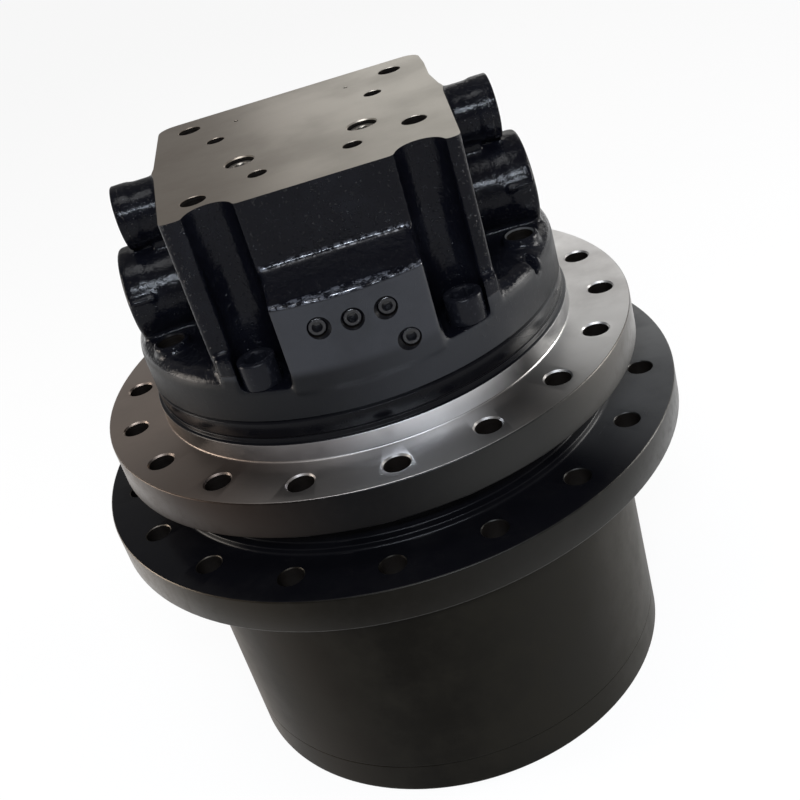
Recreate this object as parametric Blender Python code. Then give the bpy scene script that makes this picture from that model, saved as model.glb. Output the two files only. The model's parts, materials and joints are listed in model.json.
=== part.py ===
# Excavator final drive, standing on its end cover with the hydraulic motor on top.
# Metres, +Z up. The Z axis is the drive's axis of turning, and z = 0 is the outer face of the end cover.
# The motor side (frame flange, spindle, rear cover) is fixed to the machine, and the gear housing turns round it.

import bpy
import bmesh
from math import acos, cos, pi, radians, sin, sqrt, tan
from mathutils import Matrix

# Clearances shared by all pieces
SEAT_GAP = 0.0003            # between two pieces that sit on each other
RUN_GAP = 0.0005             # between a turning bore and its pin
OVERRUN = 0.002              # how far a cutter runs past the face it cuts

# Facets round a full circle
ROUND = 40
RING_ROUND = 20
BOSS_ROUND = 24             # a multiple of six, for a cap with a hexagon socket
BORE_ROUND = 16
HOLE_ROUND = 12
SMALL_ROUND = 8
HEX = 6
CUTTER_TURN = radians(4)     # keeps the corners of a cutter off the edges of what it cuts
SMOOTH_ANGLE = radians(35)
JOIN_SHARE = 0.5             # how far a joined shape runs into the plate or head that carries it

# Gear train
MODULE = 0.005
PRESSURE_ANGLE = radians(25)
ADDENDUM = 0.0045
DEDENDUM = 0.006
RING_ADDENDUM = 0.00375
TOOTH_THINNING = 0.00035     # taken off each tooth at the pitch line, so that the pair keeps its backlash
RING_TEETH = 54
SUN_1_TEETH = 12
PLANET_1_TEETH = 21
PLANET_1_COUNT = 3
SUN_2_TEETH = 14
PLANET_2_TEETH = 20
PLANET_2_COUNT = 4

# End cover
DRUM_WALL = 0.0255           # round the main bearings
END_COVER_HEIGHT = 0.026
END_COVER_EDGE = 0.002
END_COVER_DISH_RADIUS = 0.072
END_COVER_DISH_DEPTH = 0.004
END_COVER_DISH_SLOPE = 0.004
END_COVER_SPIGOT_WALL = 0.012
END_COVER_SPIGOT_GAP = 0.003
END_COVER_SPIGOT_HEIGHT = 0.004
END_COVER_FLOOR = 0.021
END_BOLT_COUNT = 12
END_BOLT_EDGE_DISTANCE = 0.0155
END_BOLT_HEAD_RADIUS = 0.009
END_BOLT_HEAD_DEPTH = 0.012
END_BOLT_POCKET_GAP = 0.0025

# Oil plugs in the end cover
OIL_PLUG_RADIUS = 0.012
OIL_PLUG_CIRCLE_RADIUS = 0.112
OIL_PLUG_DEPTH = 0.016
OIL_PLUG_RECESS = 0.002
OIL_PLUG_SOCKET_RADIUS = 0.006
OIL_PLUG_SOCKET_DEPTH = 0.008
OIL_PLUG_ANGLES = [radians(90), radians(270)]

# First planetary stage
STAGE_1_CLEARANCE = 0.008
STAGE_1_WIDTH = 0.030
PIN_1_RADIUS = 0.022
PIN_1_LOBE_WALL = 0.010
CARRIER_1_HEIGHT = 0.014

# Second planetary stage
STAGE_2_CLEARANCE = 0.0073
STAGE_2_WIDTH = 0.044
PIN_2_RADIUS = 0.0235
CARRIER_2_HEIGHT = 0.014
CARRIER_2_RIM = 0.009
STAGE_2_HEADROOM = 0.002

# Sun gears and their shafts
SUN_1_STEM_RADIUS = 0.017
SUN_1_STEM_CLEARANCE = 0.003
SUN_1_SPLINE_LENGTH = 0.022
SUN_2_JOURNAL_WALL = 0.007

# Spindle and main bearings
CHAMBER_RADIUS = 0.088       # the motor's chamber, from which the drive's diameters follow outward
SPINDLE_WALL = 0.022
SPINDLE_THREAD_DROP = 0.006
SPINDLE_SEAL_STEP = 0.018
SPINDLE_BORE_RADIUS = 0.030
NUT_HEIGHT = 0.010
NUT_WALL = 0.017
NUT_STANDOFF = 0.0025
NUT_SLOT_COUNT = 8
NUT_SLOT_WIDTH = 0.012
NUT_SLOT_DEPTH = 0.005
BEARING_HEIGHT = 0.030
BEARING_WIDTH = 0.040
BEARING_RACE_WALL = 0.0105
BEARING_CONE_WALL = 0.012
BEARING_ROLLER_GAP = 0.003
BEARING_ROLLER_SLOPE = 0.008

# Gear housing above the teeth
RING_RELIEF = 0.004
HOUSING_EDGE = 0.0015
SPROCKET_FLANGE_OVERHANG = 0.047
SPROCKET_FLANGE_FROM_TOP = 0.009
SPROCKET_FLANGE_HEIGHT = 0.026
SPROCKET_HOLE_COUNT = 18
SPROCKET_HOLE_RADIUS = 0.009
SPROCKET_HOLE_SHARE = 0.479  # of the overhang, from the drum to the hole circle
SPROCKET_HOLE_TURN = radians(-16.2)
HOUSING_COLLAR_STEP = 0.006
HOUSING_COLLAR_HEIGHT = 0.005
LABYRINTH_WALL = 0.010
LABYRINTH_HEIGHT = 0.026

# Floating face seal
SEAL_POCKET_HEIGHT = 0.026
SEAL_FACE_WIDTH = 0.016
SEAL_RING_HEIGHT = 0.018
SEAL_STEP = 0.003
SEAL_INNER_CLEARANCE = 0.003
SEAL_SHELF = 0.009
SKIRT_WALL = 0.009
SKIRT_CLEARANCE = 0.002
FLANGE_CLEARANCE = 0.007

# Frame flange and motor casing
FRAME_FLANGE_OVERHANG = 0.0433
FRAME_FLANGE_HEIGHT = 0.028
FRAME_HOLE_COUNT = 18
FRAME_HOLE_RADIUS = 0.009
FRAME_HOLE_SHARE = 0.538     # of the overhang, from the collar to the hole circle
FRAME_HOLE_TURN = radians(10)
FLANGE_EDGE = 0.0015
PILOT_STEP = 0.0022
PILOT_HEIGHT = 0.014
CASING_NECK_HEIGHT = 0.0035
CHAMBER_FLOOR_WALL = 0.018

# Motor rotating group
SHAFT_RADIUS = 0.025
SHAFT_SPLINE_RADIUS = 0.020
SHAFT_TAIL_RADIUS = 0.015
FRONT_BEARING_WALL = 0.020
FRONT_BEARING_HEIGHT = 0.0175
REAR_BEARING_WALL = 0.0125
REAR_BEARING_HEIGHT = 0.018
SWASH_PLATE_RADIUS = 0.070
SWASH_PLATE_HEIGHT = 0.018
SWASH_PLATE_BORE_RADIUS = 0.0305
PISTON_COUNT = 7
PISTON_CIRCLE_RADIUS = 0.046
PISTON_RADIUS = 0.0095
PISTON_LENGTH = 0.064
PISTON_NECK_RADIUS = 0.006
PISTON_NECK_HEIGHT = 0.006
SLIPPER_RADIUS = 0.012
SLIPPER_HEIGHT = 0.0045
RETAINER_RADIUS = 0.062
RETAINER_HEIGHT = 0.003
RETAINER_BORE_RADIUS = 0.028
RETAINER_NECK_CLEARANCE = 0.0015
BLOCK_RADIUS = 0.064
BLOCK_HEIGHT = 0.078
BLOCK_STANDOFF = 0.0075
BLOCK_BORE_CROWN = 0.015
BLOCK_EDGE = 0.003
VALVE_PLATE_RADIUS = 0.062
VALVE_PLATE_HEIGHT = 0.006
VALVE_PLATE_BORE_RADIUS = 0.022
KIDNEY_HALF_WIDTH = 0.006
KIDNEY_HALF_SPAN = radians(62)
KIDNEY_STEPS = 5
BRAKE_DISC_HEIGHT = 0.003
BRAKE_DISC_RISE = 0.016
BRAKE_DISC_RIM_GAP = 0.004
BRAKE_PISTON_WALL = 0.0195
BRAKE_PISTON_HEIGHT = 0.040

# Rear cover
COVER_STEP = 0.0045          # from the main bearings' seat to the foot of the cover
COVER_SHOULDER_HEIGHT = 0.047
COVER_SHOULDER_ROUND = 0.010
COVER_SHOULDER_STEPS = 3
COVER_GROOVE_RISE = 0.012
COVER_GROOVE_WIDTH = 0.002
COVER_GROOVE_DEPTH = 0.0015
COVER_SPIGOT_GAP = 0.0003
COVER_TOP_RISE = 0.1502      # from the joint face to the machined top
BLOCK_BACK = 0.107
BLOCK_FRONT = 0.118
BLOCK_SIDE = 0.1028
BLOCK_WAIST = 0.0022
BLOCK_WAIST_SHARES = [1 / 3, 2 / 3]
BLOCK_FRONT_SIDE = 0.0945
BLOCK_BACK_CORNER = 0.012
BLOCK_FRONT_CORNER = 0.004
BLOCK_CORNER_STEPS = 4
PANEL_STAND = 0.0015
PANEL_LEFT = 0.0465
PANEL_RIGHT = 0.050
PANEL_RISE = 0.092
PANEL_STEPS = 6
LEDGE_RISE = 0.013           # from the panel's top edge up to the block's front
POCKET_CLEARANCE = 0.0028
POCKET_OFFSET = 0.002        # from the bolt towards the middle of the cover
POCKET_SETBACK = 0.005
POCKET_STEPS = 6
POCKET_FLOOR_RISE = 0.035
RIB_FOOT_RISE = 0.0584
RIB_FOOT_WIDTH = 0.011
BOSS_WEB_HALF_WIDTH = 0.013
BOSS_WEB_SETBACK = 0.010      # from the end of the relief valves' boss

# Cover bolts
COVER_BOLT_EDGE_DISTANCE = 0.0135
COVER_BOLT_ANGLES = [radians(-118), radians(-60), radians(22), radians(60), radians(120), radians(158)]
COVER_BOLT_RADIUS = 0.009
COVER_BOLT_HEAD_RADIUS = 0.0135
COVER_BOLT_HEAD_HEIGHT = 0.018
COVER_BOLT_SOCKET_RADIUS = 0.008
COVER_BOLT_SOCKET_DEPTH = 0.009
COVER_BOLT_GRIP = 0.028
COVER_BOLT_ROOT = 0.0045
COVER_BOLT_SPOT_GAP = 0.0012

# Counterbalance valve in the rear cover
SPOOL_BOSS_RADIUS = 0.0345
SPOOL_BOSS_Y = -0.005
SPOOL_BOSS_DROP = 0.080
SPOOL_RADIUS = 0.016
SPOOL_WAIST_RADIUS = 0.010
SPOOL_HALF_LENGTH = 0.092
SPOOL_LAND_SHARES = [0.0, 0.16, 0.42, 0.58, 0.86, 1.0]
SPOOL_TRAVEL = 0.008
SPOOL_SPRING_ROOM = 0.0112   # left at each end of the spool's travel
SPOOL_CAP_RADIUS = 0.022
SPOOL_CAP_LENGTH = 0.032
SPOOL_CAP_RECESS = 0.003
SPOOL_CAP_SOCKET_RADIUS = 0.010
SPOOL_CAP_SOCKET_DEPTH = 0.010

# Relief valves in the rear cover
RELIEF_BOSS_RADIUS = 0.0219
RELIEF_BOSS_Y = -0.005
RELIEF_BOSS_DROP = 0.023
RELIEF_BOSS_REACH = 0.1285
RELIEF_BODY_RADIUS = 0.015
RELIEF_BODY_LENGTH = 0.048
RELIEF_CAP_RADIUS = 0.0224
RELIEF_CAP_HEIGHT = 0.005
RELIEF_CAP_ROOT = 0.001
RELIEF_SOCKET_RADIUS = 0.009
RELIEF_SOCKET_DEPTH = 0.0035

# Plugs and holes of the rear cover
GAUGE_PLUG_RADIUS = 0.006
GAUGE_PLUG_LENGTH = 0.014
GAUGE_PLUG_SOCKET_RADIUS = 0.0032
GAUGE_PLUG_SOCKET_DEPTH = 0.005
GAUGE_PLUG_SETBACK = 0.002
GAUGE_PLUG_PLACES = [(-0.0215, -0.077), (0.0005, -0.077), (0.0225, -0.077), (0.0315, -0.102)]
DRAIN_PORT_RADIUS = 0.0092
DRAIN_PORT_RIM = 0.0038
DRAIN_PORT_RIM_HEIGHT = 0.0057
DRAIN_PORT_CIRCLE_RADIUS = 0.137
DRAIN_PORT_ANGLES = [radians(-25), radians(-155)]
DRAIN_PORT_DEPTH = 0.022
DRAIN_PLUG_HEIGHT = 0.014
DRAIN_PLUG_SOCKET_RADIUS = 0.005
DRAIN_PLUG_SOCKET_DEPTH = 0.006
PORT_PLUG_RADIUS = 0.009
PORT_PLUG_HEIGHT = 0.014
PORT_PLUG_RECESS = 0.0025
PORT_PLUG_SOCKET_RADIUS = 0.005
PORT_PLUG_SOCKET_DEPTH = 0.007
PORT_PLUG_PLACES = [(-0.042, -0.036), (0.042, -0.036)]
PORT_PLUG_HOLE_DEPTH = 0.020
LARGE_HOLE_RADIUS = 0.008
LARGE_HOLE_DEPTH = 0.028
LARGE_HOLE_PLACES = [(-0.078, 0.080), (0.077, 0.079), (-0.073, -0.089), (0.074, -0.061)]
SMALL_HOLE_RADIUS = 0.006
SMALL_HOLE_DEPTH = 0.022
SMALL_HOLE_PLACES = [(-0.058, 0.032), (0.058, 0.031), (-0.031, -0.073), (0.0315, -0.073)]

# Colours, roughness and metallic values
FINISHES = {
    "housing_paint": ((0.030, 0.027, 0.022), 0.42, 0.0),
    "cover_paint": ((0.010, 0.011, 0.016), 0.22, 0.0),
    "casing_steel": ((0.34, 0.32, 0.30), 0.34, 0.9),
    "gear_steel": ((0.48, 0.48, 0.47), 0.28, 1.0),
    "bearing_steel": ((0.60, 0.60, 0.60), 0.18, 1.0),
    "bolt_steel": ((0.05, 0.05, 0.055), 0.35, 0.8),
    "plug_steel": ((0.30, 0.28, 0.24), 0.35, 1.0),
    "bronze": ((0.50, 0.33, 0.15), 0.35, 1.0),
}

# Radii worked out from the sizes above, from the chamber outward
RING_PITCH_RADIUS = RING_TEETH * MODULE / 2
RING_RELIEF_RADIUS = RING_PITCH_RADIUS + DEDENDUM + RING_RELIEF
SPINDLE_SEAT_RADIUS = CHAMBER_RADIUS + SPINDLE_WALL
SPINDLE_THREAD_RADIUS = SPINDLE_SEAT_RADIUS - SPINDLE_THREAD_DROP
SPINDLE_SEAL_RADIUS = SPINDLE_SEAT_RADIUS + SPINDLE_SEAL_STEP
BEARING_OUTER_RADIUS = SPINDLE_SEAT_RADIUS + BEARING_WIDTH
LABYRINTH_INNER_RADIUS = BEARING_OUTER_RADIUS + SKIRT_WALL + SKIRT_CLEARANCE
LABYRINTH_OUTER_RADIUS = LABYRINTH_INNER_RADIUS + LABYRINTH_WALL
HOUSING_COLLAR_RADIUS = LABYRINTH_OUTER_RADIUS + HOUSING_COLLAR_STEP
DRUM_RADIUS = BEARING_OUTER_RADIUS + DRUM_WALL
END_BOLT_CIRCLE_RADIUS = DRUM_RADIUS - END_BOLT_EDGE_DISTANCE
SPROCKET_FLANGE_RADIUS = DRUM_RADIUS + SPROCKET_FLANGE_OVERHANG
SPROCKET_HOLE_CIRCLE_RADIUS = DRUM_RADIUS + SPROCKET_HOLE_SHARE * SPROCKET_FLANGE_OVERHANG
COVER_RADIUS = BEARING_OUTER_RADIUS + COVER_STEP
PILOT_RADIUS = COVER_RADIUS + PILOT_STEP
FRAME_FLANGE_RADIUS = PILOT_RADIUS + FRAME_FLANGE_OVERHANG
FRAME_HOLE_CIRCLE_RADIUS = PILOT_RADIUS + FRAME_HOLE_SHARE * FRAME_FLANGE_OVERHANG
PANEL_RADIUS = COVER_RADIUS + PANEL_STAND
COVER_BOLT_CIRCLE_RADIUS = COVER_RADIUS - COVER_BOLT_EDGE_DISTANCE
STAGE_1_CENTRE = (SUN_1_TEETH + PLANET_1_TEETH) * MODULE / 2
STAGE_2_CENTRE = (SUN_2_TEETH + PLANET_2_TEETH) * MODULE / 2

# Heights worked out from the sizes above, from the floor up
HOUSING_BOTTOM = END_COVER_HEIGHT + SEAT_GAP
STAGE_1_BOTTOM = END_COVER_HEIGHT + STAGE_1_CLEARANCE
STAGE_1_TOP = STAGE_1_BOTTOM + STAGE_1_WIDTH
CARRIER_1_BOTTOM = STAGE_1_TOP + SEAT_GAP
CARRIER_1_TOP = CARRIER_1_BOTTOM + CARRIER_1_HEIGHT
STAGE_2_BOTTOM = CARRIER_1_TOP + STAGE_2_CLEARANCE
STAGE_2_TOP = STAGE_2_BOTTOM + STAGE_2_WIDTH
CARRIER_2_BOTTOM = STAGE_2_TOP + SEAT_GAP
CARRIER_2_TOP = CARRIER_2_BOTTOM + CARRIER_2_HEIGHT
SPINDLE_END = CARRIER_2_TOP + SEAT_GAP
NUT_BOTTOM = SPINDLE_END + NUT_STANDOFF
NUT_TOP = NUT_BOTTOM + NUT_HEIGHT
BEARING_BOTTOM = NUT_TOP + SEAT_GAP
BEARING_TOP = BEARING_BOTTOM + 2 * BEARING_HEIGHT + SEAT_GAP
TEETH_TOP = STAGE_2_TOP + STAGE_2_HEADROOM
SEAL_FACE = BEARING_TOP + SEAL_POCKET_HEIGHT
SKIRT_BOTTOM = SEAL_FACE + SKIRT_CLEARANCE
HOUSING_SHELF = SEAL_FACE - SEAT_GAP
SPROCKET_FLANGE_TOP = HOUSING_SHELF - SPROCKET_FLANGE_FROM_TOP
SPROCKET_FLANGE_BOTTOM = SPROCKET_FLANGE_TOP - SPROCKET_FLANGE_HEIGHT
LABYRINTH_TOP = SPROCKET_FLANGE_TOP + LABYRINTH_HEIGHT
FRAME_FLANGE_BOTTOM = LABYRINTH_TOP + FLANGE_CLEARANCE
FRAME_FLANGE_TOP = FRAME_FLANGE_BOTTOM + FRAME_FLANGE_HEIGHT
PILOT_TOP = FRAME_FLANGE_TOP + PILOT_HEIGHT
CASING_TOP = PILOT_TOP + CASING_NECK_HEIGHT
FRONT_BEARING_BOTTOM = SPINDLE_END + CHAMBER_FLOOR_WALL
CHAMBER_FLOOR = FRONT_BEARING_BOTTOM + FRONT_BEARING_HEIGHT + SEAT_GAP
SWASH_BOTTOM = CHAMBER_FLOOR + SEAT_GAP
SWASH_TOP = SWASH_BOTTOM + SWASH_PLATE_HEIGHT
SLIPPER_BOTTOM = SWASH_TOP + SEAT_GAP
SLIPPER_TOP = SLIPPER_BOTTOM + SLIPPER_HEIGHT
RETAINER_BOTTOM = SLIPPER_TOP + SEAT_GAP
PISTON_BODY_BOTTOM = SLIPPER_TOP + PISTON_NECK_HEIGHT
COVER_BOTTOM = CASING_TOP + SEAT_GAP
COVER_SPIGOT_BOTTOM = CASING_TOP - VALVE_PLATE_HEIGHT
VALVE_PLATE_TOP = COVER_SPIGOT_BOTTOM - SEAT_GAP
VALVE_PLATE_BOTTOM = VALVE_PLATE_TOP - VALVE_PLATE_HEIGHT
BLOCK_TOP = VALVE_PLATE_BOTTOM - SEAT_GAP
BLOCK_BOTTOM = BLOCK_TOP - BLOCK_HEIGHT
COVER_SHOULDER = COVER_BOTTOM + COVER_SHOULDER_HEIGHT
COVER_TOP = COVER_BOTTOM + COVER_TOP_RISE
POCKET_FLOOR = COVER_BOTTOM + POCKET_FLOOR_RISE
SHAFT_BOTTOM = FRONT_BEARING_BOTTOM - SEAT_GAP
SHAFT_TOP = COVER_SPIGOT_BOTTOM + REAR_BEARING_HEIGHT + VALVE_PLATE_HEIGHT
BRAKE_DISC_BOTTOM = BLOCK_BOTTOM + BRAKE_DISC_RISE
BRAKE_PLATE_BOTTOM = BRAKE_DISC_BOTTOM + BRAKE_DISC_HEIGHT + SEAT_GAP
BRAKE_PISTON_BOTTOM = BRAKE_PLATE_BOTTOM + BRAKE_DISC_HEIGHT + SEAT_GAP
SPOOL_Z = COVER_TOP - SPOOL_BOSS_DROP
RELIEF_Z = COVER_TOP - RELIEF_BOSS_DROP
PANEL_TOP = COVER_BOTTOM + PANEL_RISE

# Reaches to each side of the middle
SPOOL_CAP_REACH = SPOOL_HALF_LENGTH + SPOOL_TRAVEL + SPOOL_SPRING_ROOM + SPOOL_CAP_LENGTH
SPOOL_BOSS_REACH = SPOOL_CAP_REACH + SPOOL_CAP_RECESS
BOSS_WEB_REACH = RELIEF_BOSS_REACH - BOSS_WEB_SETBACK


def clear_start():
    for old in list(bpy.data.objects):
        bpy.data.objects.remove(old)


def make_materials():
    made = {}
    for name, (colour, roughness, metallic) in FINISHES.items():
        finish = bpy.data.materials.new(name)
        finish.use_nodes = True
        shader = finish.node_tree.nodes["Principled BSDF"]
        shader.inputs["Base Color"].default_value = (*colour, 1)
        shader.inputs["Roughness"].default_value = roughness
        shader.inputs["Metallic"].default_value = metallic
        finish.diffuse_color = (*colour, 1)
        made[name] = finish
    return made


def round_bore(radius, facets, gap):
    """Radius of a faceted bore whose flats clear a round piece of this radius by the gap."""
    return (radius + gap) / cos(pi / facets)


def turned(outline, facets, turn=0.0):
    """A body of revolution about Z. Outline points are (radius, height); radius zero is a pole."""
    bm = bmesh.new()
    rings = []
    for radius, height in outline:
        if radius == 0:
            rings.append([bm.verts.new((0, 0, height))] * facets)
            continue
        ring = []
        for step in range(facets):
            angle = turn + 2 * pi * step / facets
            ring.append(bm.verts.new((radius * cos(angle), radius * sin(angle), height)))
        rings.append(ring)
    closed = outline[0][0] > 0
    pairs = list(zip(rings, rings[1:]))
    if closed:
        pairs.append((rings[-1], rings[0]))
    for low, high in pairs:
        for step in range(facets):
            after = (step + 1) % facets
            corners = []
            for vert in (low[step], low[after], high[after], high[step]):
                if vert not in corners:
                    corners.append(vert)
            if len(corners) > 2:
                bm.faces.new(corners)
    return bm


def prism(outline, bottom, top):
    """A straight extrusion along Z of an outline of (x, y) points."""
    bm = bmesh.new()
    base = bm.faces.new([bm.verts.new((x, y, bottom)) for x, y in outline])
    raised = bmesh.ops.extrude_face_region(bm, geom=[base])["geom"]
    moved = [item for item in raised if isinstance(item, bmesh.types.BMVert)]
    bmesh.ops.translate(bm, verts=moved, vec=(0, 0, top - bottom))
    return bm


def rod(radius, bottom, top, facets, turn=0.0):
    return turned([(0, bottom), (radius, bottom), (radius, top), (0, top)], facets, turn)


def place_shape(bm, matrix):
    bmesh.ops.transform(bm, matrix=matrix, verts=bm.verts)
    return bm


def add_shape(target, extra, matrix=Matrix.Identity(4)):
    """Adds one mesh to another as a further shell, and frees the added one."""
    place_shape(extra, matrix)
    lookup = [target.verts.new(vert.co) for vert in extra.verts]
    extra.verts.index_update()
    for face in extra.faces:
        target.faces.new([lookup[vert.index] for vert in face.verts])
    extra.free()


def along_x(x, y, z, side=1):
    """Turns a shape that stands on Z so that it points outward along X, from the given point."""
    return Matrix.Translation((x, y, z)) @ Matrix.Rotation(side * pi / 2, 4, "Y")


def on_circle(radius, angle, z=0.0):
    return Matrix.Translation((radius * cos(angle), radius * sin(angle), z)) @ Matrix.Rotation(angle, 4, "Z")


def arc(centre, radius, start, end, steps):
    points = []
    for step in range(steps + 1):
        angle = start + (end - start) * step / steps
        points.append((centre[0] + radius * cos(angle), centre[1] + radius * sin(angle)))
    return points


def make_object(name, bm, finish, parent=None, location=(0, 0, 0), turn=0.0):
    bmesh.ops.recalc_face_normals(bm, faces=bm.faces)
    mesh = bpy.data.meshes.new(name)
    bm.to_mesh(mesh)
    bm.free()
    mesh.shade_smooth()
    mesh.set_sharp_from_angle(angle=SMOOTH_ANGLE)
    item = bpy.data.objects.new(name, mesh)
    bpy.context.scene.collection.objects.link(item)
    if finish is None:
        item.hide_render = True
        item.display_type = "WIRE"
    else:
        item.data.materials.append(finish)
    item.parent = parent
    item.location = location
    item.rotation_euler = (0, 0, turn)
    return item


def make_axis(name, location=(0, 0, 0)):
    axis = bpy.data.objects.new(name, None)
    bpy.context.scene.collection.objects.link(axis)
    axis.location = location
    axis.empty_display_size = SPINDLE_SEAT_RADIUS
    return axis


def combine(item, shape, operation):
    """Joins a mesh to an object, or cuts it out. All the tools of one kind share one Boolean modifier."""
    step = item.modifiers.get(operation)
    if step is None:
        step = item.modifiers.new(operation, "BOOLEAN")
        step.operation = operation
        step.solver = "EXACT"
        step.operand_type = "COLLECTION"
        step.collection = bpy.data.collections.new(item.name + "_" + operation)
        bpy.context.scene.collection.children.link(step.collection)
    tool = make_object(step.collection.name + "_" + str(len(step.collection.objects)), shape, None)
    step.collection.objects.link(tool)
    tool.parent = item.parent
    tool.location = item.location
    tool.rotation_euler = item.rotation_euler


def cut(item, shape):
    combine(item, shape, "DIFFERENCE")


def unite(item, shape):
    combine(item, shape, "UNION")


def hole_circle(radius, circle_radius, count, turn, bottom, top, facets):
    """Straight cutters on a bolt circle, as one mesh."""
    tools = bmesh.new()
    for step in range(count):
        angle = turn + 2 * pi * step / count
        add_shape(tools, rod(radius, bottom, top, facets, CUTTER_TURN), on_circle(circle_radius, angle))
    return tools


def involute(angle):
    return tan(angle) - angle


def gear_outline(teeth, tip_radius, root_radius, thinning):
    """Outline of an involute gear with a tooth centred on +X, three points to each flank."""
    pitch_radius = teeth * MODULE / 2
    base_radius = pitch_radius * cos(PRESSURE_ANGLE)
    half_tooth = pi / (2 * teeth) - thinning / (2 * pitch_radius)

    def flank(radius):
        pressure = acos(min(1, base_radius / radius))
        return half_tooth + involute(PRESSURE_ANGLE) - involute(pressure)

    points = []
    radii = [root_radius, pitch_radius, tip_radius]
    for tooth in range(teeth):
        centre = 2 * pi * tooth / teeth
        rising = [(radius, centre - flank(radius)) for radius in radii]
        falling = [(radius, centre + flank(radius)) for radius in reversed(radii)]
        for radius, angle in rising + falling:
            points.append((radius * cos(angle), radius * sin(angle)))
    return points


def outer_gear(teeth, bottom, top):
    pitch_radius = teeth * MODULE / 2
    outline = gear_outline(teeth, pitch_radius + ADDENDUM, pitch_radius - DEDENDUM, TOOTH_THINNING)
    return prism(outline, bottom, top)


def planet_turn(centre_angle, planet_teeth):
    """Turn of a planet whose outward tooth lies in a space of the ring gear."""
    return centre_angle - centre_angle * RING_TEETH / planet_teeth


def sun_turn(planet_teeth, sun_teeth):
    """Turn of a sun gear whose teeth lie in the spaces of its planets."""
    return pi * (planet_teeth - 1) / sun_teeth


def lobed_plate(count, reach, lobe_radius, bottom, top):
    """A carrier plate: straight edges between round lobes over its pins."""
    outline = []
    spread = pi / count
    for lobe in range(count):
        angle = 2 * pi * lobe / count
        centre = (reach * cos(angle), reach * sin(angle))
        outline += arc(centre, lobe_radius, angle - spread, angle + spread, SMALL_ROUND)
    return prism(outline, bottom, top)


def socket_plug(radius, height, socket_radius, socket_depth, facets=HOLE_ROUND):
    """A plug that stands on z = 0 with a hexagon socket in its top, made in one closed mesh."""
    bm = bmesh.new()
    rings = []
    floor = height - socket_depth
    sizes = [(radius, 0, facets), (radius, height, facets)]
    sizes += [(socket_radius, height, HEX), (socket_radius, floor, HEX)]
    for size, z, count in sizes:
        ring = []
        for step in range(count):
            angle = 2 * pi * step / count
            ring.append(bm.verts.new((size * cos(angle), size * sin(angle), z)))
        rings.append(ring)
    bm.faces.new(rings[0])
    bm.faces.new(rings[3])
    share = facets // HEX
    for step in range(facets):
        after = (step + 1) % facets
        bm.faces.new([rings[0][step], rings[0][after], rings[1][after], rings[1][step]])
    for step in range(HEX):
        after = (step + 1) % HEX
        bm.faces.new([rings[3][step], rings[3][after], rings[2][after], rings[2][step]])
        outer = [rings[1][(step * share + k) % facets] for k in range(share + 1)]
        bm.faces.new(outer + [rings[2][after], rings[2][step]])
    return bm


def build_end_cover(hub, finishes):
    spigot_radius = RING_PITCH_RADIUS - RING_ADDENDUM - END_COVER_SPIGOT_GAP
    spigot_top = END_COVER_HEIGHT + END_COVER_SPIGOT_HEIGHT
    outline = [
        (0, END_COVER_DISH_DEPTH),
        (END_COVER_DISH_RADIUS, END_COVER_DISH_DEPTH),
        (END_COVER_DISH_RADIUS + END_COVER_DISH_SLOPE, 0),
        (DRUM_RADIUS - END_COVER_EDGE, 0),
        (DRUM_RADIUS, END_COVER_EDGE),
        (DRUM_RADIUS, END_COVER_HEIGHT),
        (spigot_radius, END_COVER_HEIGHT),
        (spigot_radius, spigot_top),
        (spigot_radius - END_COVER_SPIGOT_WALL, spigot_top),
        (spigot_radius - END_COVER_SPIGOT_WALL, END_COVER_FLOOR),
        (0, END_COVER_FLOOR),
    ]
    cover = make_object("end_cover", turned(outline, ROUND), finishes["housing_paint"], hub)
    pockets = bmesh.new()
    pocket_radius = END_BOLT_HEAD_RADIUS + END_BOLT_POCKET_GAP
    for step in range(END_BOLT_COUNT):
        spot = on_circle(END_BOLT_CIRCLE_RADIUS, 2 * pi * (step + 1 / 2) / END_BOLT_COUNT)
        ring = [
            (END_BOLT_HEAD_RADIUS, -OVERRUN),
            (pocket_radius, -OVERRUN),
            (pocket_radius, END_BOLT_HEAD_DEPTH),
            (END_BOLT_HEAD_RADIUS, END_BOLT_HEAD_DEPTH),
        ]
        add_shape(pockets, turned(ring, SMALL_ROUND), spot)
    cut(cover, pockets)
    holes = bmesh.new()
    for angle in OIL_PLUG_ANGLES:
        hole = rod(round_bore(OIL_PLUG_RADIUS, HOLE_ROUND, SEAT_GAP), -OVERRUN, END_COVER_HEIGHT, HOLE_ROUND)
        add_shape(holes, hole, on_circle(OIL_PLUG_CIRCLE_RADIUS, angle))
    cut(cover, holes)
    for number, angle in enumerate(OIL_PLUG_ANGLES):
        plug = socket_plug(OIL_PLUG_RADIUS, OIL_PLUG_DEPTH, OIL_PLUG_SOCKET_RADIUS, OIL_PLUG_SOCKET_DEPTH)
        seat = Matrix.Translation((0, 0, OIL_PLUG_RECESS + OIL_PLUG_DEPTH)) @ Matrix.Rotation(pi, 4, "X")
        place_shape(plug, on_circle(OIL_PLUG_CIRCLE_RADIUS, angle) @ seat)
        make_object("oil_plug_" + str(number + 1), plug, finishes["plug_steel"], hub)


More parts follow.
